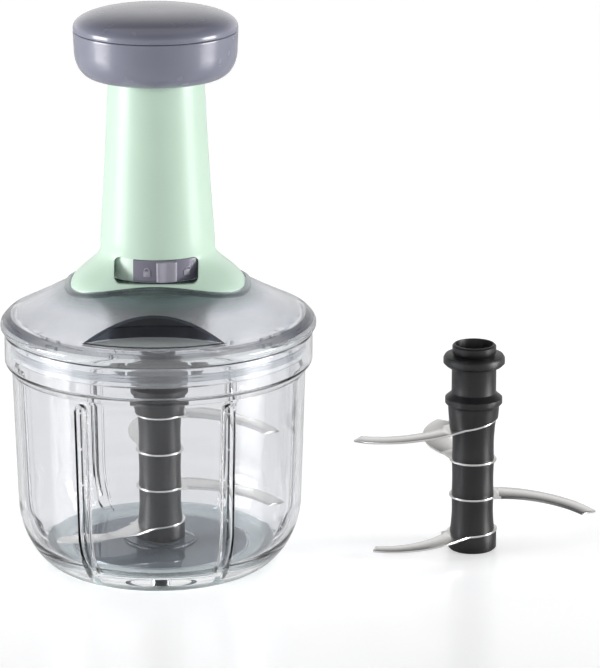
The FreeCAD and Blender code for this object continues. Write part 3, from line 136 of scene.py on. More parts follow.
# ---------------------------------------------------------------- meshes
class Shape:
    """A mesh under construction with bmesh, in millimetres, Z up."""

    def __init__(self) -> None:
        """Starts an empty mesh."""
        self.bm = bmesh.new()

    def close(self, distance: float = 3e-3) -> "Shape":
        """Merges doubles, drops edges without faces and turns all faces outwards.

        Args:
            distance: how near two corners are merged.

        Returns:
            This shape.
        """
        bmesh.ops.remove_doubles(self.bm, verts=self.bm.verts, dist=distance)
        bare = [edge for edge in self.bm.edges if not edge.link_faces]
        bmesh.ops.delete(self.bm, geom=bare, context="EDGES")
        bmesh.ops.recalc_face_normals(self.bm, faces=self.bm.faces)
        return self

    @classmethod
    def spun(cls, outline: Sequence[Pair], sectors: Sequence[tuple[float, int]] = ((FULL_TURN, 96),),
             start: float = 0.0) -> "Shape":
        """Spins a closed outline of radius and height about the axis.

        Args:
            outline: points of the outline.
            sectors: angle and number of steps of each stretch of the turn.
            start: angle where the first stretch begins.

        Returns:
            The closed shape.
        """
        shape = cls()
        bm = shape.bm
        verts = [bm.verts.new(polar(r, start, z)) for r, z in held(outline)]
        geometry: list = verts + [bm.edges.new(pair) for pair in zip(verts, verts[1:] + verts[:1])]
        for angle, steps in sectors:
            result = bmesh.ops.spin(bm, geom=geometry, cent=ORIGIN, axis=UP, angle=angle, steps=steps,
                                    use_merge=len(sectors) == 1, use_duplicate=False)
            geometry = result["geom_last"]
        return shape.close()

    @classmethod
    def sector(cls, outline: Sequence[Pair], low: float, high: float, steps: int) -> "Shape":
        """Spins an outline through part of a turn and caps both ends.

        Args:
            outline: points of the outline, radius and height.
            low: first angle.
            high: last angle.
            steps: number of steps between them.

        Returns:
            The closed shape.
        """
        shape = cls()
        face = shape.bm.faces.new([shape.bm.verts.new(polar(r, low, z)) for r, z in held(outline)])
        bmesh.ops.spin(shape.bm, geom=[face], cent=ORIGIN, axis=UP, angle=high - low, steps=steps,
                       use_merge=False, use_duplicate=False)
        return shape.close()

    @classmethod
    def lofted(cls, rings: Sequence[Sequence[Vector]]) -> "Shape":
        """Bridges closed rings of equal length one after another.

        Args:
            rings: the rings' points.

        Returns:
            The open shell.
        """
        shape = cls()
        bm = shape.bm
        loops = []
        for points in rings:
            verts = [bm.verts.new(p) for p in points]
            loops.append([bm.edges.new((verts[i - 1], verts[i])) for i in range(len(verts))])
        for first, second in zip(loops, loops[1:]):
            bmesh.ops.bridge_loops(bm, edges=first + second)
        return shape

    @classmethod
    def block(cls, size: Vector, centre: Vector, rounding: float, segments: int,
              lengthwise: bool = False) -> "Shape":
        """A box with rounded edges.

        Args:
            size: the three side lengths.
            centre: its middle.
            rounding: radius of its edges.
            segments: pieces in each rounding.
            lengthwise: rounds only the edges that run along Y.

        Returns:
            The box.
        """
        shape = cls()
        bm = shape.bm
        bmesh.ops.create_cube(bm, size=1.0)
        bmesh.ops.scale(bm, vec=size, verts=bm.verts)
        edges = [e for e in bm.edges if not lengthwise or abs(e.verts[0].co.y - e.verts[1].co.y) > 1]
        bmesh.ops.bevel(bm, geom=edges, offset=rounding, segments=segments, affect="EDGES",
                        profile=0.5, material=-1)
        bmesh.ops.translate(bm, vec=centre, verts=bm.verts)
        return shape

    @classmethod
    def of_node(cls, node: str) -> "Shape":
        """A merged copy of a CAD node's mesh, in millimetres.

        Args:
            node: the CAD node.

        Returns:
            The copy.
        """
        shape = cls()
        shape.bm.from_mesh(frame["nodes"][node].data)
        bmesh.ops.scale(shape.bm, vec=(1 / MM, 1 / MM, 1 / MM), verts=shape.bm.verts)
        bmesh.ops.remove_doubles(shape.bm, verts=shape.bm.verts, dist=1e-3)
        return shape

    def add(self, other: "Shape") -> "Shape":
        """Takes in another shape's mesh.

        Args:
            other: the shape to take in.

        Returns:
            This shape.
        """
        spare = bpy.data.meshes.new("spare")
        other.bm.to_mesh(spare)
        self.bm.from_mesh(spare)
        bpy.data.meshes.remove(spare)
        return self

    def moved(self, matrix: Matrix) -> "Shape":
        """Turns or shifts the whole shape."""
        bmesh.ops.transform(self.bm, matrix=matrix, verts=self.bm.verts)
        return self

    def bend(self, rule: Callable[[Vector], Vector]) -> "Shape":
        """Moves every vertex to where a rule puts it.

        Args:
            rule: gives the new place of a point.

        Returns:
            This shape.
        """
        for vert in self.bm.verts:
            vert.co = rule(vert.co)
        return self


class Cut(Enum):
    """How one mesh changes another."""

    AWAY = "DIFFERENCE"
    JOIN = "UNION"
    WITHIN = "INTERSECT"


@dataclass
class Piece:
    """One finished object of the scene.

    Attributes:
        name: object name.
        body: CAD body that it rides on.
        replaces: CAD nodes that it stands for.
        smooth_degrees: edges sharper than this stay sharp.
        bevel: width of the bevel on sharp edges, in millimetres.
    """

    name: str
    body: str
    replaces: tuple[str, ...] = ()
    smooth_degrees: float = 32.0
    bevel: float = 0.0

    def build(self, shape: Shape, finish: "Finish", cutters: Iterable[tuple[Cut, Shape]] = ()) -> None:
        """Makes the object, dresses it and sets it on its body.

        Args:
            shape: its mesh, in millimetres.
            finish: its material.
            cutters: shapes that are joined to it, cut away or limit it, in order.
        """
        obj = self._object(self.name, shape)
        for cut, tool in cutters:
            self._apply_cut(obj, cut, tool)
        if self.bevel > 0:
            bevel = obj.modifiers.new("Rounding", "BEVEL")
            bevel.width = self.bevel * MM
            bevel.segments = 2
            bevel.limit_method = "ANGLE"
            bevel.angle_limit = math.radians(self.smooth_degrees)
            self._bake_modifiers(obj)
        obj.data.shade_smooth()
        obj.data.set_sharp_from_angle(angle=math.radians(self.smooth_degrees))
        obj.data.materials.clear()
        obj.data.materials.append(finish.material())
        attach(obj, self.body)
        if self.replaces:
            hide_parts(*self.replaces)
        LOG.info("%s: %d faces on %s", self.name, len(obj.data.polygons), self.body)

    @staticmethod
    def _object(name: str, shape: Shape) -> bpy.types.Object:
        """Turns a shape into a linked object in metres.

        Args:
            name: the object's name.
            shape: its mesh, in millimetres.

        Returns:
            The object.
        """
        bmesh.ops.scale(shape.bm, vec=(MM, MM, MM), verts=shape.bm.verts)
        mesh = bpy.data.meshes.new(name)
        shape.bm.to_mesh(mesh)
        shape.bm.free()
        obj = bpy.data.objects.new(name, mesh)
        bpy.context.scene.collection.objects.link(obj)
        return obj

    @staticmethod
    def _bake_modifiers(obj: bpy.types.Object) -> None:
        """Writes the modifiers' result into the object's mesh.

        Args:
            obj: the object.
        """
        evaluated = obj.evaluated_get(bpy.context.evaluated_depsgraph_get())
        mesh = bpy.data.meshes.new_from_object(evaluated)
        obj.modifiers.clear()
        obj.data = mesh

    def _apply_cut(self, obj: bpy.types.Object, cut: Cut, tool: Shape) -> None:
        """Joins a tool to the object or cuts it away.

        Args:
            obj: the object.
            cut: what the tool does to it.
            tool: the other shape.
        """
        other = self._object(self.name + "_tool", tool)
        boolean = obj.modifiers.new("Cut", "BOOLEAN")
        boolean.operation = cut.value
        boolean.solver = "EXACT"
        boolean.object = other
        self._bake_modifiers(obj)
        bpy.data.objects.remove(other)


@dataclass(frozen=True)
class Pocket:
    """Lens-shaped finger pocket in the front of the lid's dome; sizes in millimetres.

    Attributes:
        out_r: distance of its front edge from the axis.
        in_r: distance of its back wall's middle from the axis.
        half_degrees: half of the angle that it takes up.
        floor_z: height of its floor.
        soft: rounding along its floor.
    """

    out_r: float = 59.5
    in_r: float = 43.0
    half_degrees: float = 28.3
    floor_z: float = 110.3
    soft: float = 0.3

    def corner(self, grow: float = 0.0) -> Pair:
        """Its right corner, when it is grown by an amount."""
        half = math.radians(self.half_degrees) + grow / self.out_r
        return (self.out_r + grow) * math.sin(half), -(self.out_r + grow) * math.cos(half)

    def arc(self, grow: float = 0.0) -> Pair:
        """Radius of its back wall's arc and the place of that arc's centre, when it is grown.

        Args:
            grow: how much larger it is on every side.

        Returns:
            The arc's radius and its centre's Y.
        """
        x, y = self.corner(grow)
        sagitta = -(self.in_r - grow) - y
        arc_r = (x ** 2 + sagitta ** 2) / (2 * sagitta)
        return arc_r, -(self.in_r - grow) - arc_r

    def block(self, grow: float, low: float, high: float) -> Shape:
        """Upright block in its outline.

        Args:
            grow: how much larger than the pocket it is on every side.
            low: its lower end.
            high: its upper end.

        Returns:
            The block.
        """
        out_r = self.out_r + grow
        half = math.radians(self.half_degrees) + grow / self.out_r
        arc_r, arc_y = self.arc(grow)
        spread = math.asin(self.corner(grow)[0] / arc_r)
        shift = Vector((0, arc_y, 0))
        front = [polar(out_r, FRONT + half * (i / 24 - 1), low) for i in range(49)]
        back = [polar(arc_r, -FRONT - spread * (1 - i / 24), low) + shift for i in range(1, 48)]
        shape = Shape()
        bm = shape.bm
        floor = bm.faces.new([bm.verts.new(point) for point in front + back])
        raised = bmesh.ops.extrude_face_region(bm, geom=[floor])
        top = [item for item in raised["geom"] if isinstance(item, bmesh.types.BMVert)]
        bmesh.ops.translate(bm, vec=(0, 0, high - low), verts=top)
        if grow == 0:
            edges = [e for e in bm.edges if all(abs(v.co.z - low) < 1e-6 for v in e.verts)]
            bmesh.ops.bevel(bm, geom=edges, offset=self.soft, segments=3, affect="EDGES",
                            profile=0.5, material=-1)
        return shape.close()


# ---------------------------------------------------------------- shader building
class Signal:
    """A value that flows through a material, with arithmetic that adds Math nodes."""

    def __init__(self, painter: "Painter", socket: bpy.types.NodeSocket) -> None:
        """Wraps an output socket."""
        self.painter = painter
        self.socket = socket

    def _sum(self, operation: str, *values: Union["Signal", float]) -> "Signal":
        """Adds one Math node."""
        inputs = dict(enumerate(values))
        return self.painter.node("ShaderNodeMath", {"operation": operation}, inputs)

    def __add__(self, other: Union["Signal", float]) -> "Signal":
        """Sum."""
        return self._sum("ADD", self, other)

    def __sub__(self, other: Union["Signal", float]) -> "Signal":
        """Difference."""
        return self._sum("SUBTRACT", self, other)

    def __rsub__(self, other: float) -> "Signal":
        """A number minus this."""
        return self._sum("SUBTRACT", other, self)

    def __mul__(self, other: Union["Signal", float]) -> "Signal":
        """Product."""
        return self._sum("MULTIPLY", self, other)

    __radd__ = __add__
    __rmul__ = __mul__

    def __gt__(self, other: float) -> "Signal":
        """1 where this is greater, 0 elsewhere."""
        return self._sum("GREATER_THAN", self, other)


Input = Union[Signal, float, tuple]


class Painter:
    """Adds the nodes of one material or of the world."""

    def __init__(self, tree: bpy.types.NodeTree) -> None:
        """Takes the node tree that it works on."""
        self.tree = tree

    def node(self, kind: str, settings: dict, inputs: dict, output: Union[int, str] = 0) -> Signal:
        """Adds any node.

        Args:
            kind: the node's type.
            settings: its properties, or "stops" for a ramp as place and colour pairs.
            inputs: values or signals by socket name or number.
            output: the socket to return.

        Returns:
            The node's output.
        """
        made = self.tree.nodes.new(kind)
        for key, value in settings.items():
            if key == "stops":
                self._set_stops(made, value)
            else:
                setattr(made, key, value)
        for key, value in inputs.items():
            if isinstance(value, Signal):
                self.tree.links.new(value.socket, made.inputs[key])
            else:
                made.inputs[key].default_value = value
        return Signal(self, made.outputs[output])

    @staticmethod
    def _set_stops(ramp: bpy.types.Node, stops: Sequence[tuple[float, tuple]]) -> None:
        """Writes a ramp's stops.

        Args:
            ramp: the ramp node.
            stops: place and colour pairs.
        """
        elements = ramp.color_ramp.elements
        while len(elements) > 1:
            elements.remove(elements[-1])
        elements[0].position, elements[0].color = stops[0]
        for place, colour in stops[1:]:
            elements.new(place).color = colour

    def place(self) -> Signal:
        """The point on the object, in metres."""
        return self.node("ShaderNodeTexCoord", {}, {}, "Object")

    def axis(self, name: str) -> Signal:
        """One coordinate of the point on the object."""
        return self.node("ShaderNodeSeparateXYZ", {}, {"Vector": self.place()}, name)

    def noise(self, size_mm: float, detail: float = 2.0, stretch: Sequence[float] = (1, 1, 1)) -> Signal:
        """Noise with features of about a size, 0 to 1.

        Args:
            size_mm: size of its features.
            detail: number of finer layers.
            stretch: factor along each axis.

        Returns:
            The noise.
        """
        point = self.node("ShaderNodeMapping", {}, {"Vector": self.place(), "Scale": tuple(stretch)})
        inputs = {"Vector": point, "Scale": 1 / (size_mm * MM), "Detail": detail}
        return self.node("ShaderNodeTexNoise", {}, inputs, "Fac")

    def ramped(self, value: Signal, low: float, high: float) -> Signal:
        """A value taken from 0 at one number to 1 at another, and held outside them."""
        inputs = {"Value": value, "From Min": low, "From Max": high}
        return self.node("ShaderNodeMapRange", {"clamp": True}, inputs)

    def between(self, value: Signal, low_mm: float, high_mm: float) -> Signal:
        """1 where a length lies between two bounds in millimetres, 0 elsewhere."""
        return (value > low_mm * MM) * (1 - (value > high_mm * MM))

    def reach(self, y_mm: float = 0.0) -> Signal:
        """Distance from the upright line through a point of the middle plane.

        Args:
            y_mm: where that point lies.

        Returns:
            The distance, in metres.
        """
        kind = "ShaderNodeVectorMath"
        off = self.node(kind, {"operation": "SUBTRACT"}, {0: self.place(), 1: (0, y_mm * MM, 0)})
        flat = self.node(kind, {"operation": "MULTIPLY"}, {0: off, 1: (1, 1, 0)})
        return self.node(kind, {"operation": "LENGTH"}, {0: flat}, "Value")

    def mixed(self, share: Input, first: Input, second: Input) -> Signal:
        """Blend of two colours."""
        return self.node("ShaderNodeMix", {"data_type": "RGBA"}, {0: share, 6: first, 7: second}, 2)

    def blended(self, share: Signal, first: Signal, second: Signal) -> Signal:
        """Blend of two shaders."""
        return self.node("ShaderNodeMixShader", {}, {0: share, 1: first, 2: second})

    def ray(self, kind: str) -> Signal:
        """1 for one kind of light ray, such as Is Camera Ray."""
        return self.node("ShaderNodeLightPath", {}, {}, kind)


class Paint(Painter):
    """Builds one material round a Principled shader."""

    def __init__(self, name: str) -> None:
        """Starts the material.

        Args:
            name: its name, without the prefix.
        """
        self.material = bpy.data.materials.new("finish_" + name)
        self.material.use_nodes = True
        super().__init__(self.material.node_tree)
        self.shader = self.tree.nodes["Principled BSDF"]
        self.output = self.tree.nodes["Material Output"]

    def surface(self) -> Signal:
        """The Principled shader's output."""
        return Signal(self, self.shader.outputs[0])

    def finish_with(self, shader: Signal) -> None:
        """Sends another shader to the material's surface."""
        self.tree.links.new(shader.socket, self.output.inputs["Surface"])

    def set(self, **values: Input) -> None:
        """Sets or links sockets of the Principled shader; underscores stand for spaces.

        Args:
            values: numbers, colours or signals by socket name.
        """
        for key, value in values.items():
            socket = self.shader.inputs[key.replace("_", " ")]
            if isinstance(value, Signal):
                self.tree.links.new(value.socket, socket)
            else:
                socket.default_value = value

    def bump(self, height: Signal, depth_mm: float, strength: float = 1.0) -> None:
        """Roughens the surface by a height signal."""
        inputs = {"Height": height, "Distance": depth_mm * MM, "Strength": strength}
        self.set(Normal=self.node("ShaderNodeBump", {}, inputs))


# ---------------------------------------------------------------- finishes
@dataclass(frozen=True)
class Finish:
    """A material of the object.

    Attributes:
        name: material name.
        slot: the record's material slot; not used.
        colour: colour as seen.
    """

    name: str
    slot: str
    colour: Colour

    def material(self) -> bpy.types.Material:
        """The material, built once.

        Returns:
            The material.
        """
        found = bpy.data.materials.get("finish_" + self.name)
        if found:
            return found
        painter = Paint(self.name)
        self.paint(painter)
        return painter.material

    def paint(self, painter: Paint) -> None:
        """Lays the finish on the material."""
        raise NotImplementedError


@dataclass(frozen=True)
class Moulded(Finish):
    """Opaque moulded plastic.

    Attributes:
        roughness: base roughness.
        grain_mm: size of the fine moulding texture.
        depth_mm: its depth.
        coat: share of clear gloss over it.
    """

    roughness: float = 0.3
    grain_mm: float = 0.5
    depth_mm: float = 0.004
    coat: float = 0.0

    def tint(self, painter: Paint) -> Signal:
        """The colour over the surface."""
        return painter.mixed(painter.noise(28.0), linear(self.colour, 0.94), linear(self.colour))

    def paint(self, painter: Paint) -> None:
        """Lays the plastic on the material.

        Args:
            painter: adds the nodes.
        """
        rough = painter.noise(9.0) * 0.08 + (self.roughness - 0.04)
        painter.set(Base_Color=self.tint(painter), Roughness=rough, IOR=1.5, Coat_Weight=self.coat,
                    Coat_Roughness=0.08)
        painter.bump(painter.noise(self.grain_mm), self.depth_mm, 0.5)


@dataclass(frozen=True)
class TwoTone(Moulded):
    """Plastic that changes colour with height.

    Attributes:
        upper: colour above the change.
        change_mm: height of the change.
        blend_mm: length of the change.
    """

    upper: Colour = (0.5, 0.5, 0.5)
    change_mm: float = 0.0
    blend_mm: float = 4.0

    def tint(self, painter: Paint) -> Signal:
        """The colour over the height.

        Args:
            painter: adds the nodes.

        Returns:
            The colour.
        """
        low = (self.change_mm - self.blend_mm / 2) * MM
        share = painter.ramped(painter.axis("Z"), low, low + self.blend_mm * MM)
        return painter.mixed(share, linear(self.colour), linear(self.upper))


@dataclass(frozen=True)
class Zone:
    """Part of a surface with a colour of its own or with painted shade; lengths in millimetres.

    Attributes:
        colour: its colour.
        low: its lower end.
        high: its upper end.
        inner: distance from the axis where it starts.
        outer: distance from the axis where it ends.
        frost: roughness added over it.
    """

    colour: Colour
    low: float = -1.0
    high: float = 999.0
    inner: float = -1.0
    outer: float = 999.0
    frost: float = 0.0

    def share(self, painter: Paint) -> Signal:
        """1 in the zone, 0 elsewhere."""
        level = painter.between(painter.axis("Z"), self.low, self.high)
        return level * painter.between(painter.reach(), self.inner, self.outer)


@dataclass(frozen=True)
class Clear(Finish):
    """Tinted clear plastic.

    Attributes:
        roughness: base roughness.
        ior: index of refraction.
        clearness: share of light that passes, the rest is scattered.
        zones: parts with their own colour or with painted shade; a later one covers an earlier one.
    """

    roughness: float = 0.02
    ior: float = 1.45
    clearness: float = 1.0
    zones: tuple[Zone, ...] = ()

    def tint(self, painter: Paint) -> Signal:
        """The colour over the surface.

        Args:
            painter: adds the nodes.

        Returns:
            The colour.
        """
        colour = painter.mixed(painter.noise(40.0), linear(self.colour), linear(self.colour, 1.03))
        for zone in self.zones:
            colour = painter.mixed(zone.share(painter), colour, linear(zone.colour))
        return colour

    def blur(self, painter: Paint) -> Signal:
        """The roughness over the surface.

        Args:
            painter: adds the nodes.

        Returns:
            The roughness.
        """
        rough = painter.noise(14.0) * 0.02 + self.roughness
        for zone in self.zones:
            if zone.frost:
                rough = rough + zone.share(painter) * zone.frost
        return rough

    def paint(self, painter: Paint) -> None:
        """Lays the plastic on the material; light passes through it without a hard shadow.

        Args:
            painter: adds the nodes.
        """
        painter.set(Base_Color=self.tint(painter), Roughness=self.blur(painter), IOR=self.ior,
                    Transmission_Weight=self.clearness)
        painter.bump(painter.noise(11.0, 1.0), 0.01, 0.25)
        veil = tuple(0.55 + 0.45 * c for c in linear(self.colour)[:3]) + (1.0,)
        open_shader = painter.node("ShaderNodeBsdfTransparent", {}, {"Color": veil})
        painter.finish_with(painter.blended(painter.ray("Is Shadow Ray"), painter.surface(), open_shader))


@dataclass(frozen=True)
class LidSmoke(Clear):
    """Smoke plastic of the lid, frosted over its dome and clear below, with painted shade and a painted
    highlight; lengths in millimetres.

    Attributes:
        pocket: the finger pocket, with painted shade on its back wall and a painted highlight on its floor.
        ring: painted shade in the valley between dome and bead.
        ring_least: share of it that shows at the middle plane.
        ring_calm: distance from the middle plane where it starts to show more.
        ring_full: distance from the middle plane where it shows fully.
        heart: painted shade near the axis, for the dark housing and its shadow seen through the dome.
        heart_r: radius where that colour starts to fade.
        heart_fade: how far it takes to fade.
        wall: colour of the painted shade on the pocket's back wall.
        floor: colour of the painted highlight on the pocket's floor.
        shine: share of metal over the floor, which gives it a painted shine.
        satin: roughness added over the floor.
        line: colour of the painted shade along the pocket's front edge.
        line_width: width of that line outside the pocket.
        frost: roughness added over the dome.
        frost_z: height where the frost starts.
        near: how far from a face of the pocket its colour reaches.
        thin: how far from the floor its colour reaches.
    """

    pocket: Pocket = Pocket()
    ring: Zone = Zone((0.5, 0.5, 0.5))
    ring_least: float = 0.5
    ring_calm: float = 18.0
    ring_full: float = 58.0
    heart: Colour = (0.62, 0.67, 0.67)
    heart_r: float = 34.0
    heart_fade: float = 12.0
    wall: Colour = (0.11, 0.125, 0.16)
    floor: Colour = (0.978, 0.978, 0.982)
    shine: float = 0.9
    satin: float = 0.45
    line: Colour = (0.1, 0.1, 0.1)
    line_width: float = 0.7
    frost: float = 0.2
    frost_z: float = 110.8
    near: float = 0.4
    thin: float = 0.1

    def _pocket_shares(self, painter: Paint) -> tuple[Signal, Signal]:
        """1 on the pocket's back wall, where painted shade goes, and 1 on its floor, where a painted
        highlight goes.

        Args:
            painter: adds the nodes.

        Returns:
            The two shares.
        """
        arc_r, arc_y = self.pocket.arc()
        height, away, floor_z = painter.axis("Z"), painter.reach(arc_y), self.pocket.floor_z
        # painted shade: the pocket's back wall
        wall = painter.between(away, arc_r - self.near, arc_r + self.near)
        wall = wall * (height > (floor_z + self.thin) * MM)
        # painted highlight: the pocket's floor
        floor = painter.between(height, floor_z - self.thin, floor_z + self.thin)
        floor = floor * (1 - (painter.reach() > (self.pocket.out_r - self.near) * MM))
        return wall, floor * (1 - (away > (arc_r - self.near) * MM))

    def tint(self, painter: Paint) -> Signal:
        """The colour over the surface.

        Args:
            painter: adds the nodes.

        Returns:
            The colour.
        """
        reach, across, pocket = painter.reach(), painter.axis("X"), self.pocket
        # painted shade: darker near the axis, for the dark housing and its shadow seen through the dome
        away = painter.ramped(reach, self.heart_r * MM, (self.heart_r + self.heart_fade) * MM)
        colour = painter.mixed(away, linear(self.heart), super().tint(painter))
        # painted shade in the valley between dome and bead, stronger towards the sides
        aside = painter.ramped(across * across, (self.ring_calm * MM) ** 2, (self.ring_full * MM) ** 2)
        ring = self.ring.share(painter) * (self.ring_least + aside * (1 - self.ring_least))
        wall, floor = self._pocket_shares(painter)
        # metal over the pocket's floor gives it a painted shine
        painter.set(Metallic=floor * self.shine)
        # painted shade: a dark line along the pocket's front edge
        front = painter.between(reach, pocket.out_r - self.near, pocket.out_r + self.line_width)
        front = front * (painter.axis("Y") * -1.0 > -pocket.corner()[1] * MM)
        front = front * (painter.axis("Z") > (pocket.floor_z - pocket.soft) * MM)
        # lays the painted shade of the valley, the back wall and the front edge, and the painted highlight of
        # the floor
        shares = (ring, wall, floor, front)
        for share, layer in zip(shares, (self.ring.colour, self.wall, self.floor, self.line)):
            colour = painter.mixed(share, colour, linear(layer))
        return colour

    def blur(self, painter: Paint) -> Signal:
        """The roughness over the surface.

        Args:
            painter: adds the nodes.

        Returns:
            The roughness.
        """
        wall, floor = self._pocket_shares(painter)
        frosted = (painter.axis("Z") > self.frost_z * MM) * (1 - wall)
        return super().blur(painter) + frosted * self.frost + floor * self.satin


@dataclass(frozen=True)
class Steel(Finish):
    """Rolled or drawn steel with fine brushing.

    Attributes:
        roughness: base roughness.
        brushing: stretch of the brushed lines along each axis.
    """

    roughness: float = 0.25
    brushing: tuple[float, float, float] = (1.0, 12.0, 12.0)

    def paint(self, painter: Paint) -> None:
        """Lays the steel on the material.

        Args:
            painter: adds the nodes.
        """
        lines = painter.noise(1.6, 3.0, self.brushing)
        painter.set(Base_Color=painter.mixed(lines, linear(self.colour, 0.9), linear(self.colour)),
                    Metallic=1.0, Roughness=lines * 0.14 + (self.roughness - 0.07))
        painter.bump(lines, 0.004, 0.35)


@dataclass(frozen=True)
class Rubber(Finish):
    """Soft matt rubber."""

    def paint(self, painter: Paint) -> None:
        """Lays the rubber on the material.

        Args:
            painter: adds the nodes.
        """
        speck = painter.noise(0.7, 3.0)
        painter.set(Base_Color=painter.mixed(speck, linear(self.colour, 0.85), linear(self.colour)),
                    Roughness=painter.noise(4.0) * 0.15 + 0.5)
        painter.bump(speck, 0.02, 0.5)


BOWL_CLEAR = Clear("bowl_clear", "bowl_clear", (0.94, 0.943, 0.95), roughness=0.0, ior=1.42, zones=(
    Zone((0.84, 0.87, 0.86), high=5.2, frost=0.3),
    # painted shadow: darker bowl floor out to 48 mm, for the table in shade under the bowl
    Zone((0.57, 0.61, 0.64), low=8.0, high=10.4, outer=48.2),
    # painted shade: a dark line round the chamfer under the collar
    Zone((0.4, 0.4, 0.4), low=88.9, high=89.7, inner=62.4)))
MINT = Moulded("column_mint", "column_mint", (0.815, 0.915, 0.84), roughness=0.36, coat=0.1)
# paler, glossier copy of the column's mint: painted light on the sleeve and the recess, which sit in the
# window's shade
MINT_PAINTED_LIT = Moulded("mint_pale", "column_mint", (0.90, 0.97, 0.92), roughness=0.3, coat=0.3)
KNOB_GREY = Moulded("knob_grey", "knob_grey", (0.52, 0.525, 0.59), roughness=0.26, coat=0.5)
SLIDER_SLATE = Moulded("slider_slate", "slider_slate", (0.50, 0.49, 0.55), roughness=0.3, coat=0.2)
SIGN_GREY = Moulded("sign_grey", "slider_slate", (0.66, 0.65, 0.70), roughness=0.35)
POST_BLACK = Moulded("post_black", "post_black", (0.10, 0.097, 0.105), 0.4, grain_mm=0.9, depth_mm=0.001)
SEAL = Clear("seal_clear", "soft_rubber", (0.86, 0.87, 0.88), roughness=0.12, ior=1.4)
NATURAL = Moulded("natural_plastic", "natural_plastic", (0.90, 0.90, 0.87), roughness=0.4)
HOUSING = TwoTone("housing_dark", "housing_dark", (0.08, 0.085, 0.09), 0.4, grain_mm=0.9, depth_mm=0.001,
                  upper=(0.42, 0.50, 0.49), change_mm=118.0, blend_mm=3.0)
PAD = Rubber("soft_rubber", "soft_rubber", (0.64, 0.66, 0.68))
BLADE_STEEL = Steel("blade_steel", "blade_steel", (0.90, 0.895, 0.885), roughness=0.24)
BRIGHT_STEEL = Steel("bright_steel", "bright_steel", (0.80, 0.80, 0.80), 0.2, brushing=(12.0, 12.0, 1.0))
BRASS = Steel("bush_brass", "bush_brass", (0.86, 0.72, 0.42), roughness=0.3)


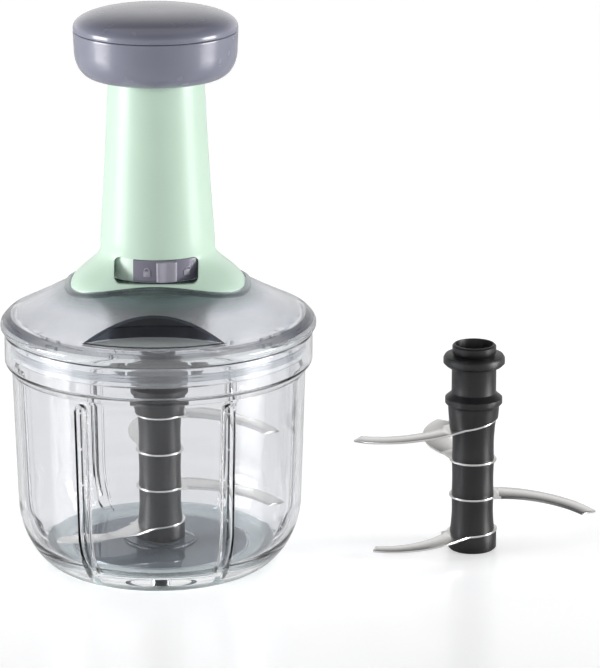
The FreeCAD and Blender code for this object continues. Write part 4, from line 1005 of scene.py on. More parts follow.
# ---------------------------------------------------------------- bowl
@dataclass
class Bowl:
    """Clear bowl with its grooves, foot pad and centre pin; sizes in millimetres."""

    foot_r: float = 40.0
    foot_wall: float = 2.6
    foot_z: float = 0.5
    corner_r: float = 60.0
    corner_z: float = 29.0
    corner_power: float = 1.87
    corner_depth: float = 24.0
    shoulder_r: float = 61.8
    shoulder_z: float = 86.0
    collar_r: float = 64.7
    collar_z: float = 89.6
    rim_z: float = 102.6
    wall: float = 2.3
    floor_z: float = 9.0
    floor_under_z: float = 5.5
    floor_flat_r: float = 43.0
    floor_ring_r: float = 48.0
    floor_step: float = 1.0
    boss_r: float = 16.0
    boss_wall: float = 1.5
    pin_hole_r: float = 3.05
    pin_hole_z: float = 3.95
    pin_boss_r: float = 8.0
    pin_boss_z: float = 3.1
    flutes: int = 6
    flute_half: float = 2.1
    flute_depth: float = 2.6
    rib_soft: float = 2.4
    flute_top_z: float = 81.5
    flute_low_r: float = 48.4
    flute_soft: float = 0.9
    flute_fade: float = 3.0
    rib_fade: float = 5.0
    flute_span_degrees: float = 12.0
    fine_step: float = 0.7
    coarse_step: float = 3.2

    def _corner(self, share: float) -> Pair:
        """Point on the outer corner, from the foot (0) to the wall (1).

        Args:
            share: how far along it.

        Returns:
            Radius and height.
        """
        angle = share * math.pi / 2
        r = self.foot_r + (self.corner_r - self.foot_r) * math.sin(angle) ** (2 / self.corner_power)
        z = self.corner_z * (1 - math.cos(angle) ** (2 / self.corner_power))
        return r, max(z, self.foot_z)

    def _wall_r(self, z: float, start_z: float) -> float:
        """Outer radius at a height of a wall that starts to rise at another height."""
        share = min((z - start_z) / (self.shoulder_z - start_z), 1.0)
        return self.corner_r + (self.shoulder_r - self.corner_r) * share

    def _step(self, z: float) -> float:
        """Height between two rings of the wall, small where the grooves end."""
        return self.fine_step if z > self.flute_top_z - 4 else self.coarse_step

    def _outer_side(self) -> list[Pair]:
        """Outer surface from the foot to under the collar.

        Returns:
            Its points, upwards.
        """
        side = [self._corner(step / 34) for step in range(35)]
        z = self.corner_z
        while z < self.shoulder_z - 0.8:
            z += self._step(z)
            side.append((self._wall_r(z, self.corner_z), z))
        return side

    def _inner_side(self) -> list[Pair]:
        """Inner surface from under the collar down to the floor's outer ring.

        Returns:
            Its points, downwards.
        """
        wall_r = self.corner_r - self.wall
        low_z = self.floor_z + self.floor_step
        corner_z = self.corner_z + self.wall
        side = []
        z = self.shoulder_z
        while z > corner_z:
            side.append((self._wall_r(z, corner_z) - self.wall, z))
            z -= self._step(z)
        for step in range(25):
            angle = (1 - step / 24) * math.pi / 2
            r = self.floor_ring_r + (wall_r - self.floor_ring_r) * math.sin(angle)
            side.append((r, low_z + (corner_z - low_z) * (1 - math.cos(angle))))
        return side

    def _groove_share(self, point: Vector, soft: float) -> float:
        """How deep a point lies in its nearest groove, 0 to 1.

        Args:
            point: the point.
            soft: width of the groove's slope.

        Returns:
            The share.
        """
        pitch = FULL_TURN / self.flutes
        angle = math.atan2(point.y, point.x)
        off = angle - round(angle / pitch) * pitch
        across = math.hypot(point.x, point.y) * math.sin(off)
        above = max(0.0, point.z - self.flute_top_z)
        from_edge = self.flute_half - math.hypot(across, above)
        return ease(0.5 + from_edge / soft)

    def _section(self) -> list[Pair]:
        """Outline of the bowl without its grooves.

        Returns:
            Its points.
        """
        out_r, in_r, rim_z, low_z = self.collar_r, self.collar_r - self.wall, self.rim_z, self.collar_z
        rim = [(self.shoulder_r + 0.15, self.shoulder_z + 0.35), (out_r - 0.35, low_z - 0.5),
               (out_r, low_z + 0.4), (out_r, rim_z - 0.7), (out_r - 0.25, rim_z - 0.15), (out_r - 0.8, rim_z),
               (in_r + 0.8, rim_z), (in_r + 0.2, rim_z - 0.2), (in_r, rim_z - 0.8), (in_r, low_z + 0.4)]
        floor_z, step_z, under_z = self.floor_z, self.floor_z + self.floor_step, self.floor_under_z
        boss_in, foot_in = self.boss_r - self.boss_wall, self.foot_r - self.foot_wall
        floor = rounded_outline([
            (self.floor_ring_r - 1.2, step_z, 0), (self.floor_flat_r + 1.1, step_z, 0.5),
            (self.floor_flat_r, floor_z, 0.5), (self.boss_r, floor_z, 0.3), (self.boss_r, step_z, 0.4),
            (boss_in, step_z, 0.4), (boss_in, floor_z, 0.3), (self.pin_hole_r, floor_z, 0),
            (self.pin_hole_r, self.pin_hole_z, 0), (0, self.pin_hole_z, 0), (0, self.pin_boss_z, 0),
            (self.pin_boss_r, self.pin_boss_z, 0.4), (self.pin_boss_r, under_z, 0.3),
            (foot_in, under_z, 0.6), (foot_in, self.foot_z, 0.5)], 3)
        return self._outer_side() + rim + self._inner_side() + floor

    def _shape(self) -> Shape:
        """The bowl with its grooves outside and its ribs inside.

        Returns:
            The shape.
        """
        fine = math.radians(self.flute_span_degrees)
        sectors = [(fine, 40), (FULL_TURN / self.flutes - fine, 22)] * self.flutes

        def press(point: Vector) -> Vector:
            """Moves a wall point inwards where a groove passes.

            Args:
                point: the point.

            Returns:
                Its new place.
            """
            r = math.hypot(point.x, point.y)
            if point.z > self.shoulder_z or r < self.flute_low_r:
                return point
            soft, fade, low_z = self.flute_soft, self.flute_fade, self.corner_z
            if self._distance_out(r, point.z) <= -self.wall / 2:
                soft, fade, low_z = self.rib_soft, self.rib_fade, self.corner_z + self.wall
            depth = self.flute_depth * self._groove_share(point, soft)
            if point.z < low_z:
                depth *= ease((r - self.flute_low_r) / fade)
            lean = self._lean(point.z)
            inward = Vector((-point.x / r * math.cos(lean), -point.y / r * math.cos(lean), math.sin(lean)))
            return point + inward * depth

        return Shape.spun(self._section(), sectors, start=-fine / 2).bend(press)

    def _lean(self, z: float) -> float:
        """Angle by which the wall's inward direction points up at a height."""
        return math.pi / 2 * (1 - ease(z / self.corner_z)) * 0.9 if z < self.corner_z else 0.0

    def _distance_out(self, r: float, z: float) -> float:
        """Rough distance of a point outside the outer surface, negative inside.

        Args:
            r: its radius.
            z: its height.

        Returns:
            The distance.
        """
        if z >= self.corner_z:
            return r - self._wall_r(z, self.corner_z)
        across = max(r - self.foot_r, 0.0) / (self.corner_r - self.foot_r)
        down = (self.corner_z - z) / self.corner_z
        radius = (across ** self.corner_power + down ** self.corner_power) ** (1 / self.corner_power)
        return (radius - 1.0) * self.corner_depth

    def build(self) -> None:
        """Makes the bowl, the pad under it and its pin."""
        Piece("clear_bowl", "bowl_base", ("bowl",), smooth_degrees=38).build(self._shape(), BOWL_CLEAR)
        carried("base_pad", PAD)
        carried("centre_pin", BRIGHT_STEEL)


def carried(node: str, finish: Finish, bevel: float = 0.0) -> None:
    """Shows a CAD node as a merged, smoothly shaded copy in its finish.

    Args:
        node: the CAD node.
        finish: its material.
        bevel: width of the bevel on its sharp edges, in millimetres.
    """
    body = next(name for name, nodes in frame["record"]["behaviour"]["bodies"].items() if node in nodes)
    Piece(node + "_shown", body, (node,), smooth_degrees=34, bevel=bevel).build(Shape.of_node(node), finish)


# ---------------------------------------------------------------- column
@dataclass
class Column:
    """Mint handle column whose flared skirt lies on the lid; sizes in millimetres."""

    top_z: float = 209.6
    top_r: float = 20.0
    neck_z: float = 142.0
    neck_r: float = 23.9
    skirt_a: float = 36.6
    skirt_b: float = 28.8
    skirt_power: float = 2.7
    skirt_drop: float = 20.6
    skirt_delay: float = 4.0
    skirt_front: float = 0.88
    shaft_swell: float = 0.28
    wall: float = 2.0
    sleeve_r: float = 20.7
    sleeve_in_r: float = 18.9
    dome_start_r: float = 64.2
    dome_start_z: float = 108.4
    dome_swell: float = 1.1
    dome_sag: float = 1.5
    crown_r: float = 22.0
    crown_z: float = 129.3
    window_half: float = 17.4
    window_low_z: float = 128.0
    window_height: float = 9.8
    window_corner: float = 2.4
    recess_r: float = 22.5
    recess_degrees: float = 49.5
    sleeve_low_z: float = 118.0
    sleeve_high_z: float = 150.0
    window_depth: float = 34.0
    skirt_lift: float = 0.12
    around: int = 128

    def dome_z(self, r: float) -> float:
        """Height of the lid's outer surface at a radius.

        Args:
            r: the radius.

        Returns:
            The height.
        """
        share = (self.dome_start_r - r) / (self.dome_start_r - self.crown_r)
        share = min(max(share, 0.0), 1.0)
        swell = (self.dome_swell - self.dome_sag * (1 - share)) * math.sin(math.pi * share)
        return self.dome_start_z + (self.crown_z - self.dome_start_z) * share + swell

    def _shaft_r(self, z: float) -> float:
        """Radius of the shaft at a height."""
        share = (z - self.neck_z) / (self.top_z - self.neck_z)
        return self.neck_r + (self.top_r - self.neck_r) * (share + self.shaft_swell * share * (1 - share))

    def _flare_point(self, angle: float, drop: float, inset: float) -> Vector:
        """Point of the flare at a plan angle and a drop below the neck.

        Args:
            angle: the plan angle.
            drop: how far below the neck.
            inset: distance inside the outer surface.

        Returns:
            The point.
        """
        share = max(0.0, drop - self.skirt_delay) / (self.skirt_drop - self.skirt_delay)
        spread_x = ease(share) if share < 1 else 1.0
        spread_y = ease(share ** self.skirt_front) if share < 1 else 1.0
        half_x = self.neck_r + (self.skirt_a - self.neck_r) * spread_x - inset
        half_y = self.neck_r + (self.skirt_b - self.neck_r) * spread_y - inset
        power = 2.0 + (self.skirt_power - 2.0) * spread_x
        c, s = math.cos(angle), math.sin(angle)
        x = half_x * math.copysign(abs(c) ** (2 / power), c)
        y = half_y * math.copysign(abs(s) ** (2 / power), s)
        return Vector((x, y, self.neck_z - drop))

    def _landing(self, angle: float, inset: float) -> float:
        """Drop at which the flare meets the lid at a plan angle.

        Args:
            angle: the plan angle.
            inset: distance inside the outer surface.

        Returns:
            The drop.
        """
        low, high = 0.0, self.neck_z - self.dome_start_z
        for _ in range(30):
            middle = (low + high) / 2
            point = self._flare_point(angle, middle, inset)
            if point.z > self.dome_z(math.hypot(point.x, point.y)):
                low = middle
            else:
                high = middle
        return high

    def skirt_edge(self, inset: float, lift: float) -> list[Vector]:
        """Outline of the skirt where it meets the lid.

        Args:
            inset: distance inside the outer surface.
            lift: height over the lid.

        Returns:
            Its points.
        """
        points = []
        for step in range(self.around):
            angle = FULL_TURN * (step + 0.5) / self.around
            point = self._flare_point(angle, self._landing(angle, inset), inset)
            points.append(point + Vector((0, 0, lift)))
        return points

    def _rings(self, inset: float, lift: float) -> list[list[Vector]]:
        """Rings of the column from the top down to the lid.

        Args:
            inset: distance inside the outer surface.
            lift: how far the lowest ring stays over the lid.

        Returns:
            One list of points per ring.
        """
        angles = [FULL_TURN * (i + 0.5) / self.around for i in range(self.around)]
        rings = []
        for step in range(24, 0, -1):
            z = self.neck_z + (self.top_z - self.neck_z) * step / 24
            r = self._shaft_r(z) - inset
            rings.append([polar(r, a, z) for a in angles])
        drops = [self._landing(a, inset) - lift for a in angles]
        for step in range(31):
            rings.append([self._flare_point(a, drop * (step / 30), inset) for a, drop in zip(angles, drops)])
        return rings

    def _shape(self) -> Shape:
        """The column's outer and inner shells, joined at the top and the skirt's edge.

        Returns:
            The shape.
        """
        outer, inner = self._rings(0.0, self.skirt_lift), self._rings(self.wall, self.skirt_lift)
        round_top = [[Vector((p.x * k, p.y * k, p.z - d)) for p in outer[0]]
                     for k, d in ((0.975, 0.0), (0.994, 0.35), (1.0, 0.9))]
        return Shape.lofted(inner[::-1] + round_top + outer[1:] + inner[-1:]).close()

    def _window(self) -> Shape:
        """Block with rounded corners that cuts the window.

        Returns:
            The block.
        """
        depth, height = self.window_depth, self.window_height
        centre = Vector((0, -self.skirt_a + depth / 2 - 2, self.window_low_z + height / 2))
        return Shape.block(Vector((2 * self.window_half, depth, height)), centre, self.window_corner, 6,
                           lengthwise=True)

    def build(self) -> None:
        """Makes the column, the sleeve inside it and the recess behind its window, both in a lighter mint as
        painted light, and the plunger tube.
        """
        Piece("mint_column", "lid", ("handle_column",), smooth_degrees=36, bevel=0.35).build(
            self._shape(), MINT, [(Cut.AWAY, self._window())])
        low, high = self.sleeve_low_z, self.sleeve_high_z
        sleeve = rounded_outline([(self.sleeve_r, low, 0.3), (self.sleeve_r, high, 0.3),
                                  (self.sleeve_in_r, high, 0.3), (self.sleeve_in_r, low, 0.3)], 2)
        # painted light: sleeve and recess in the lighter copy of the mint
        Piece("mint_sleeve", "lid").build(Shape.spun(sleeve), MINT_PAINTED_LIT)
        low, high = self.window_low_z + 0.1, self.window_low_z + self.window_height - 0.1
        inner = self.sleeve_r - 0.1
        recess = [(inner, low), (self.recess_r, low), (self.recess_r, high), (inner, high)]
        half = math.radians(self.recess_degrees)
        Piece("mint_recess", "lid").build(Shape.sector(recess, FRONT - half, FRONT + half, 60), MINT_PAINTED_LIT)
        carried("plunger_tube", KNOB_GREY)


# ---------------------------------------------------------------- lid and what hangs under it
@dataclass
class Lid:
    """Smoke-clear lid, its soft ring and the drive housing under it; sizes in millimetres.

    Attributes:
        column: the column whose skirt the lid's lip goes round.
    """

    column: Column
    low_z: float = 102.9
    edge_r: float = 65.0
    bead_r: float = 66.3
    bead_low: float = 1.4
    bead_high: float = 3.2
    wall: float = 2.2
    hole_r: float = 24.2
    plug_r: float = 61.8
    plug_wall: float = 2.0
    plug_z: float = 93.9
    groove_z: float = 96.3
    groove_height: float = 3.0
    groove_depth: float = 0.9
    pocket: Pocket = Pocket()
    lip_gap: float = 0.3
    lip_wall: float = 2.0
    lip_height: float = 1.2
    lip_sunk: float = 0.6
    line_low: float = 0.15
    line_high: float = 0.4
    valley_low: float = 1.1
    valley_height: float = 2.3
    valley_r: float = 61.4
    housing_foot: float = 2.6
    housing_rim: float = 0.7

    def _dome(self, depth: float, steps: int = 40) -> list[Pair]:
        """Points down the dome from the rim to the hole, a depth under its outer surface.

        Args:
            depth: how far under the outer surface.
            steps: number of steps.

        Returns:
            The points.
        """
        start_r, start_z = self.column.dome_start_r, self.column.dome_start_z
        slope = math.atan2(self.column.crown_z - start_z, start_r - self.column.crown_r)
        points = []
        for step in range(steps + 1):
            r = start_r + (self.hole_r - start_r) * step / steps
            points.append((r - depth * math.sin(slope), self.column.dome_z(r) - depth * math.cos(slope)))
        return points

    def _shell(self) -> Shape:
        """Bead, dome and plug, without the pocket.

        Returns:
            The shape.
        """
        start_r, start_z, low_z = self.column.dome_start_r, self.column.dome_start_z, self.low_z
        under = self._dome(self.wall)
        plug_r, plug_in = self.plug_r, self.plug_r - self.plug_wall
        groove_r, groove_top = self.plug_r - self.groove_depth, self.groove_z + self.groove_height
        rim = rounded_outline([
            (start_r - 0.4, start_z + 0.2, 0), (start_r, start_z, 0.5),
            (self.bead_r, low_z + self.bead_high, 0.8), (self.bead_r, low_z + self.bead_low, 0.6),
            (self.edge_r, low_z, 0.4), (plug_r, low_z, 0), (plug_r, groove_top, 0.15),
            (groove_r, groove_top, 0.1), (groove_r, self.groove_z, 0.1), (plug_r, self.groove_z, 0.15),
            (plug_r, self.plug_z, 0.6), (plug_in, self.plug_z, 0.6), (plug_in, under[0][1] - 0.2, 0)], 3)[1:]
        down = [point for point in reversed(self._dome(0.0)) if point[0] < start_r - 0.5]
        up = [point for point in under if point[0] < plug_in - 0.2]
        return Shape.spun(down + rim + up, ((FULL_TURN, 192),))

    def _dome_block(self) -> Shape:
        """Everything under the dome's outer surface.

        Returns:
            The shape.
        """
        line = self._dome(0.0)
        inside = [(0.0, self.column.crown_z), (0.0, self.low_z), (line[0][0], self.low_z)]
        return Shape.spun(inside + line, ((FULL_TURN, 192),))

    def _lip(self) -> Shape:
        """Lip that stands on the dome round the column's skirt.

        Returns:
            The shape.
        """
        inner, outer = -self.lip_gap, -self.lip_gap - self.lip_wall
        top, low = self.lip_height, -self.lip_sunk
        section = [(inner, low), (inner, top - 0.2), (inner - 0.3, top), (outer + 0.5, top),
                   (outer + 0.1, top - 0.4), (outer, low)]
        rings = [self.column.skirt_edge(inset, lift) for inset, lift in section]
        return Shape.lofted(rings + rings[:1]).close()

    def _finish(self) -> LidSmoke:
        """The lid's material, with a painted shadow line under its bead and painted shade in the valley over
        it.

        Returns:
            The material.
        """
        line_z, bead_z = self.low_z - self.line_low, self.low_z + self.line_high
        valley_z = self.low_z + self.bead_high + self.valley_low
        # painted shadow: a dark line under the bead, where the lid sits on the bowl's rim
        zones = (Zone((0.96, 0.965, 0.97), high=line_z), Zone((0.12, 0.12, 0.14), low=line_z, high=bead_z),
                 Zone((0.93, 0.94, 0.945), low=bead_z, high=valley_z))
        # painted shade in the valley between dome and bead
        ring = Zone((0.32, 0.33, 0.37), low=valley_z, high=valley_z + self.valley_height, inner=self.valley_r)
        return LidSmoke("lid_smoke", "lid_smoke", (0.92, 0.925, 0.94), roughness=0.03, ior=1.42,
                        clearness=0.88, zones=zones, pocket=self.pocket, ring=ring)

    def build(self) -> None:
        """Makes the lid's pieces."""
        high, floor_z = self.column.crown_z + 4.0, self.pocket.floor_z
        Piece("smoke_lid", "lid", ("lid_cover",), smooth_degrees=30).build(
            self.pocket.block(self.wall, floor_z - self.wall, high), self._finish(),
            [(Cut.WITHIN, self._dome_block()), (Cut.JOIN, self._shell()), (Cut.JOIN, self._lip()),
             (Cut.AWAY, self.pocket.block(0.0, floor_z, high))])
        carried("lid_seal", SEAL)
        housing = Shape.of_node("drive_housing")
        rim_z = min(vert.co.z for vert in housing.bm.verts) + self.housing_rim
        housing.bend(lambda p: p - UP * self.housing_foot if p.z < rim_z else p)
        Piece("drive_housing_shown", "lid", ("drive_housing",), smooth_degrees=34).build(housing, HOUSING)
        for node in ("hub_retainer", "drive_hub"):
            carried(node, HOUSING)
        for node in ("housing_screws", "retainer_screws", "spring_seat", "return_spring", "screw_rod",
                     "rod_clip", "clutch_spring"):
            carried(node, BRIGHT_STEEL)
        carried("rod_bush", BRASS)
        for node in ("column_guide", "ratchet_driver", "drive_nut"):
            carried(node, NATURAL)


# ---------------------------------------------------------------- knob
@dataclass
class Knob:
    """Round press knob in two shells; sizes in millimetres."""

    low_z: float = 210.4
    low_r: float = 25.0
    side_r: float = 33.8
    side_z: float = 222.8
    widest_r: float = 34.1
    seam_z: float = 229.8
    top_z: float = 238.6
    wall: float = 2.2
    hub_r: float = 14.25

    def _side(self) -> list[Pair]:
        """Outer side of the lower shell, from its floor to the seam.

        Returns:
            Its points.
        """
        side = []
        for step in range(17):
            angle = step / 16 * math.pi / 2
            r = self.low_r + (self.side_r - self.low_r) * math.sin(angle) ** 0.9
            z = self.low_z + (self.side_z - self.low_z) * (1 - math.cos(angle) ** 0.9)
            side.append((r, z))
        return side

    def _base(self) -> Shape:
        """Lower shell.

        Returns:
            The shape.
        """
        wide_r, seam_z, floor_z = self.widest_r, self.seam_z, self.low_z + self.wall
        seam = [(wide_r, seam_z - 0.55), (wide_r - 0.12, seam_z - 0.25), (wide_r - 0.5, seam_z - 0.05)]
        inner_r = wide_r - self.wall
        inside = [(inner_r, seam_z - 0.05), (inner_r, self.side_z), (self.low_r, floor_z),
                  (self.hub_r, floor_z), (self.hub_r, self.low_z)]
        return Shape.spun(self._side() + seam + inside, ((FULL_TURN, 160),))

    def _cap(self) -> Shape:
        """Domed upper shell.

        Returns:
            The shape.
        """
        wide_r, seam_z, start_z = self.widest_r, self.seam_z, self.seam_z + 0.6
        dome = []
        for step in range(1, 29):
            angle = step / 28 * math.pi / 2
            r = wide_r * math.cos(angle) ** 0.8 if step < 28 else 0.0
            dome.append((r, start_z + (self.top_z - start_z) * math.sin(angle) ** 0.8))
        seam = [(wide_r - 0.5, seam_z + 0.05), (wide_r - 0.12, seam_z + 0.22), (wide_r, start_z)]
        inner_r, under_z = wide_r - self.wall, self.top_z - self.wall
        inside = [(0, under_z), (inner_r * 0.7, under_z - 1.2), (inner_r, seam_z + 0.05)]
        return Shape.spun(seam + dome + inside, ((FULL_TURN, 160),))

    def build(self) -> None:
        """Makes the knob's pieces."""
        Piece("knob_lower", "plunger", ("knob_base",)).build(self._base(), KNOB_GREY)
        Piece("knob_upper", "plunger", ("knob_cap",)).build(self._cap(), KNOB_GREY)
        carried("buffer_ring", PAD)
        carried("knob_screws", BRIGHT_STEEL)


# ---------------------------------------------------------------- lock slider
class Lock(Enum):
    """The two signs on the slider."""

    SHUT = 0.0
    OPEN = 1.1


@dataclass
class Slider:
    """Curved lock slider in the column's window; sizes in millimetres, angles from the front."""

    face_r: float = 23.7
    inner_r: float = 22.7
    low_z: float = 128.3
    high_z: float = 137.5
    left: float = -23.5
    right: float = 46.0
    ridge_left: float = 0.5
    ridge_right: float = 20.0
    ridge_proud: float = 2.6
    ridge_dip: float = 0.75
    ridge_edge_dip: float = 0.5
    ridge_foot: float = 2.6
    ridge_point: float = 0.5
    sign_size: tuple[float, float, float] = (2.9, 0.5, 2.4)
    sign_low: float = 1.1
    sign_rounding: float = 0.16
    sign_bow_r: float = 1.05
    sign_wire_r: float = 0.24
    sign_places: tuple[tuple[float, Lock], ...] = ((-9.0, Lock.SHUT), (32.0, Lock.OPEN))

    @staticmethod
    def _angle(degrees: float) -> float:
        """Angle about the axis for degrees counted from the front to the right."""
        return FRONT + math.radians(degrees)

    def _plate(self) -> Shape:
        """Curved plate.

        Returns:
            The shape.
        """
        outline = rounded_outline([(self.inner_r, self.low_z, 0.1), (self.face_r, self.low_z, 0.4),
                                   (self.face_r, self.high_z, 0.4), (self.inner_r, self.high_z, 0.1)], 3)
        return Shape.sector(outline, self._angle(self.left), self._angle(self.right), 44)

    def _ridge(self) -> Shape:
        """Thumb ridge, pointed at its foot, with finger grooves.

        Returns:
            The shape.
        """
        top_r, foot_r = self.face_r + self.ridge_proud, self.face_r - 0.6
        low_z, high_z = self.low_z + 0.4, self.high_z - 0.4
        outline = rounded_outline([(foot_r, low_z, 0), (top_r - 0.3, low_z, 0.6), (top_r, high_z, 0.6),
                                   (foot_r, high_z, 0)], 3)
        shape = Shape.sector(outline, self._angle(self.ridge_left), self._angle(self.ridge_right), 36)
        middle = self._angle((self.ridge_left + self.ridge_right) / 2)
        half = math.radians(self.ridge_right - self.ridge_left) / 2

        def carve(point: Vector) -> Vector:
            """Dips the ridge between its ribs and draws its foot to a point.

            Args:
                point: the point.

            Returns:
                Its new place.
            """
            r = math.hypot(point.x, point.y)
            if r < self.face_r + 0.3:
                return point
            share = (math.atan2(point.y, point.x) - middle) / half
            dip = self.ridge_dip * ease(1 - abs(share) * 1.25)
            dip += self.ridge_edge_dip * ease((abs(share) - 0.8) / 0.2)
            low = max(0.0, (self.low_z + self.ridge_foot - point.z) / self.ridge_foot)
            point.z -= self.ridge_point * low * (1 - abs(share))
            k = (r - dip) / r
            return Vector((point.x * k, point.y * k, point.z))

        return shape.bend(carve)

    def _sign(self, degrees: float, lock: Lock) -> Shape:
        """Raised padlock sign at an angle on the face.

        Args:
            degrees: where it stands.
            lock: which sign it is.

        Returns:
            The shape.
        """
        body = Shape.block(Vector(self.sign_size), Vector((0, 0, -self.sign_low)), self.sign_rounding, 2)
        bow_r, wire_r = self.sign_bow_r, self.sign_wire_r
        turns = [FULL_TURN * i / 8 for i in range(8)]
        wire = [(bow_r + wire_r * math.cos(turn), wire_r * math.sin(turn)) for turn in turns]
        bow = Shape.spun(wire, ((FULL_TURN, 24),)).moved(Matrix.Rotation(math.pi / 2, 4, "X"))
        bow.bend(lambda p: Vector((p.x + lock.value * 0.6, p.y, p.z + 0.25 if p.z > 0 else p.z * 0.2)))
        place = polar(self.face_r + 0.02, self._angle(degrees), (self.low_z + self.high_z) / 2)
        turn = Matrix.Rotation(math.radians(degrees), 4, "Z")
        return body.add(bow).moved(Matrix.Translation(place) @ turn)

    def build(self) -> None:
        """Makes the slider and its signs."""
        Piece("lock_plate", "lock_slider", ("lock_slider",)).build(self._plate(), SLIDER_SLATE)
        Piece("lock_ridge", "lock_slider", smooth_degrees=40).build(self._ridge(), SIGN_GREY)
        for degrees, lock in self.sign_places:
            Piece("sign_" + lock.name.lower(), "lock_slider").build(self._sign(degrees, lock), SIGN_GREY)


# ---------------------------------------------------------------- blade units
@dataclass
class BladeUnit:
    """One blade unit.

    Attributes:
        prefix: what its nodes' names start with.
    """

    prefix: str
    blades: tuple[str, ...] = ("bottom", "lower", "upper", "top")
    spacers: tuple[str, ...] = ("bottom", "lower", "upper")

    def build(self) -> None:
        """Makes the unit's pieces."""
        for node in ("post_foot", "post_socket") + tuple("spacer_" + name for name in self.spacers):
            carried(self.prefix + node, POST_BLACK, bevel=0.12)
        for name in self.blades:
            carried(self.prefix + "blade_" + name, BLADE_STEEL, bevel=0.08)
        carried(self.prefix + "tie_tube", BRIGHT_STEEL)


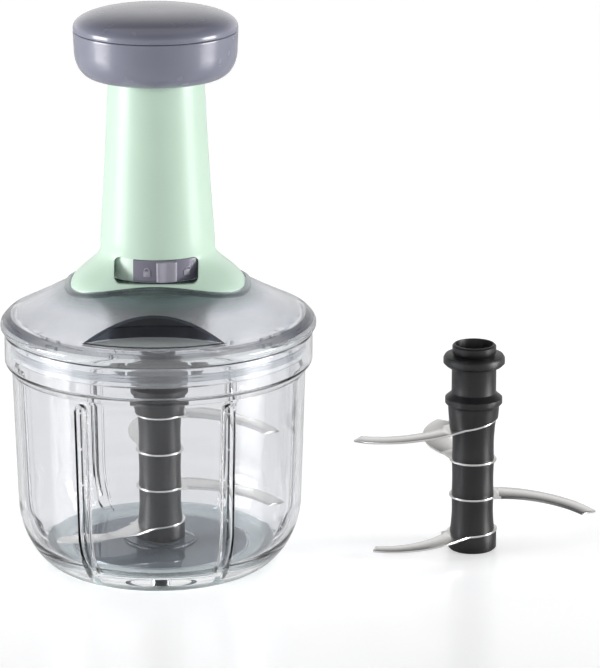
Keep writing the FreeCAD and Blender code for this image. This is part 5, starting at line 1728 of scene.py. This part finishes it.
# ---------------------------------------------------------------- studio
@dataclass
class Studio:
    """Floor, light and camera."""

    camera_place: tuple[float, float, float] = (0.0594, -1.599, 0.5507)
    camera_pitch: float = 0.275
    focal_px: float = 3954.0
    frame_px: float = 668.0
    sensor_mm: float = 36.0
    floor_half: float = 6.0
    middle_x: float = 0.05
    white_half: float = 0.34
    white_front: float = 0.35
    white_fade: float = 0.25
    dark_tone: Tone = (0.55, 0.55, 0.56, 1)
    camera_glow: float = 0.30
    back_glow: float = 0.5
    glow_front_y: float = -0.3
    glow_back_y: float = 0.25
    clear_glow: float = 0.36
    gloss: float = 0.18
    room_tones: tuple = ((0.0, (0.95, 0.955, 0.96, 1)), (0.3, (0.66, 0.665, 0.67, 1)),
                         (0.5, (0.42, 0.425, 0.43, 1)), (0.75, (0.70, 0.70, 0.71, 1)),
                         (0.93, (1.0, 1.0, 1.0, 1)))
    clear_tones: tuple = ((0.0, (0.06, 0.06, 0.065, 1)), (0.15, (0.18, 0.18, 0.185, 1)),
                          (0.32, (0.70, 0.705, 0.71, 1)), (0.5, (0.85, 0.855, 0.86, 1)),
                          (0.93, (1.0, 1.0, 1.0, 1)))
    roof_tone: Tone = (0.08, 0.08, 0.085, 1)
    roof_low: float = 0.2
    roof_high: float = 0.65
    target: tuple[float, float, float] = (0.03, 0.0, 0.1)
    lamps: tuple = (("left_box", (-1.1, -0.2, 0.27), (0.5, 0.5), 11.5),
                    ("right_box", (1.2, -0.2, 0.27), (0.5, 0.5), 11.0),
                    ("top_box", (0.0, 0.35, 1.2), (1.0, 0.7), 1.0))

    def _floor(self) -> None:
        """Glossy white floor that keeps the object's shadow; clear pieces see it dim far out."""
        bm = bmesh.new()
        bmesh.ops.create_grid(bm, x_segments=1, y_segments=1, size=self.floor_half)
        mesh = bpy.data.meshes.new("floor")
        bm.to_mesh(mesh)
        bm.free()
        floor = bpy.data.objects.new("floor", mesh)
        bpy.context.scene.collection.objects.link(floor)
        painter = Paint("floor_white")
        off, depth = painter.axis("X") - self.middle_x, painter.axis("Y")
        across = painter.node("ShaderNodeMath", {"operation": "ABSOLUTE"}, {0: off})
        side = painter.ramped(across, self.white_half, self.white_half + self.white_fade)
        front = painter.ramped(depth * -1.0, self.white_front, self.white_front + self.white_fade)
        far = 1 - (1 - side) * (1 - front)
        white = painter.mixed(painter.noise(300.0), (0.92, 0.92, 0.92, 1), (0.93, 0.93, 0.93, 1))
        painter.set(Base_Color=white, Roughness=self.gloss, IOR=1.45)
        tone = painter.mixed(painter.ramped(depth, self.glow_front_y, self.glow_back_y),
                             (self.camera_glow,) * 3 + (1,), (self.back_glow,) * 3 + (1,))
        through = self._glowing(painter, (1, 1, 1, 1), self.clear_glow)
        dim = painter.node("ShaderNodeEmission", {}, {"Color": self.dark_tone, "Strength": 1.0})
        shader = painter.blended(painter.ray("Is Camera Ray"), painter.surface(),
                                 self._glowing(painter, tone, 1.0))
        painter.finish_with(painter.blended(painter.ray("Is Transmission Ray"), shader,
                                            painter.blended(far, through, dim)))
        mesh.materials.append(painter.material)

    @staticmethod
    def _glowing(painter: Paint, tone: Input, strength: float) -> Signal:
        """The painter's surface with a glow added to it."""
        glow = painter.node("ShaderNodeEmission", {}, {"Color": tone, "Strength": strength})
        return painter.node("ShaderNodeAddShader", {}, {0: painter.surface(), 1: glow})

    def _world(self) -> None:
        """Dim room with a white wall behind the object."""
        world = bpy.data.worlds.new("studio")
        bpy.context.scene.world = world
        world.use_nodes = True
        painter = Painter(world.node_tree)
        coords = painter.node("ShaderNodeTexCoord", {}, {}, "Generated")
        depth = painter.ramped(painter.node("ShaderNodeSeparateXYZ", {}, {0: coords}, "Y"), -1.0, 1.0)
        height = painter.node("ShaderNodeSeparateXYZ", {}, {0: coords}, "Z")
        room = painter.node("ShaderNodeValToRGB", {"stops": self.room_tones}, {0: depth})
        room = painter.mixed(painter.ramped(height, self.roof_low, self.roof_high), room, self.roof_tone)
        clear = painter.node("ShaderNodeValToRGB", {"stops": self.clear_tones}, {0: depth})
        tone = painter.mixed(painter.ray("Is Transmission Ray"), room, clear)
        tone = painter.mixed(painter.ray("Is Camera Ray"), tone, (1, 1, 1, 1))
        world.node_tree.links.new(tone.socket, world.node_tree.nodes["Background"].inputs["Color"])

    def _lamp(self, name: str, place: Vector, size: Pair, power: float) -> None:
        """One soft box that faces the object.

        Args:
            name: the lamp's name.
            place: where it stands.
            size: its two sides.
            power: its power in watts.
        """
        light = bpy.data.lights.new(name, "AREA")
        light.shape = "RECTANGLE"
        light.size, light.size_y = size
        light.energy = power
        lamp = bpy.data.objects.new(name, light)
        lamp.location = place
        lamp.rotation_euler = (Vector(self.target) - place).to_track_quat("-Z", "Y").to_euler()
        bpy.context.scene.collection.objects.link(lamp)

    def _camera(self) -> None:
        """Camera at the viewing angle."""
        data = bpy.data.cameras.new("view")
        data.sensor_fit = "VERTICAL"
        data.sensor_height = self.sensor_mm
        data.lens = self.sensor_mm * self.focal_px / self.frame_px
        data.clip_end = 20.0
        camera = bpy.data.objects.new("view", data)
        camera.location = self.camera_place
        camera.rotation_euler = (math.pi / 2 - self.camera_pitch, 0, 0)
        bpy.context.scene.collection.objects.link(camera)
        bpy.context.scene.camera = camera

    def build(self) -> None:
        """Sets the stage."""
        bpy.context.scene.view_settings.view_transform = "Standard"
        self._floor()
        self._world()
        for name, place, size, power in self.lamps:
            self._lamp(name, Vector(place), size, power)
        self._camera()


def main() -> None:
    """Builds the object and its studio."""
    logging.basicConfig(level=logging.INFO, format="%(name)s: %(message)s")
    Studio().build()
    column = Column()
    for part in (Bowl(), column, Lid(column), Knob(), Slider(), BladeUnit(""), BladeUnit("spare_")):
        LOG.info("building %s", type(part).__name__)
        part.build()


if __name__ == "__main__":
    main()
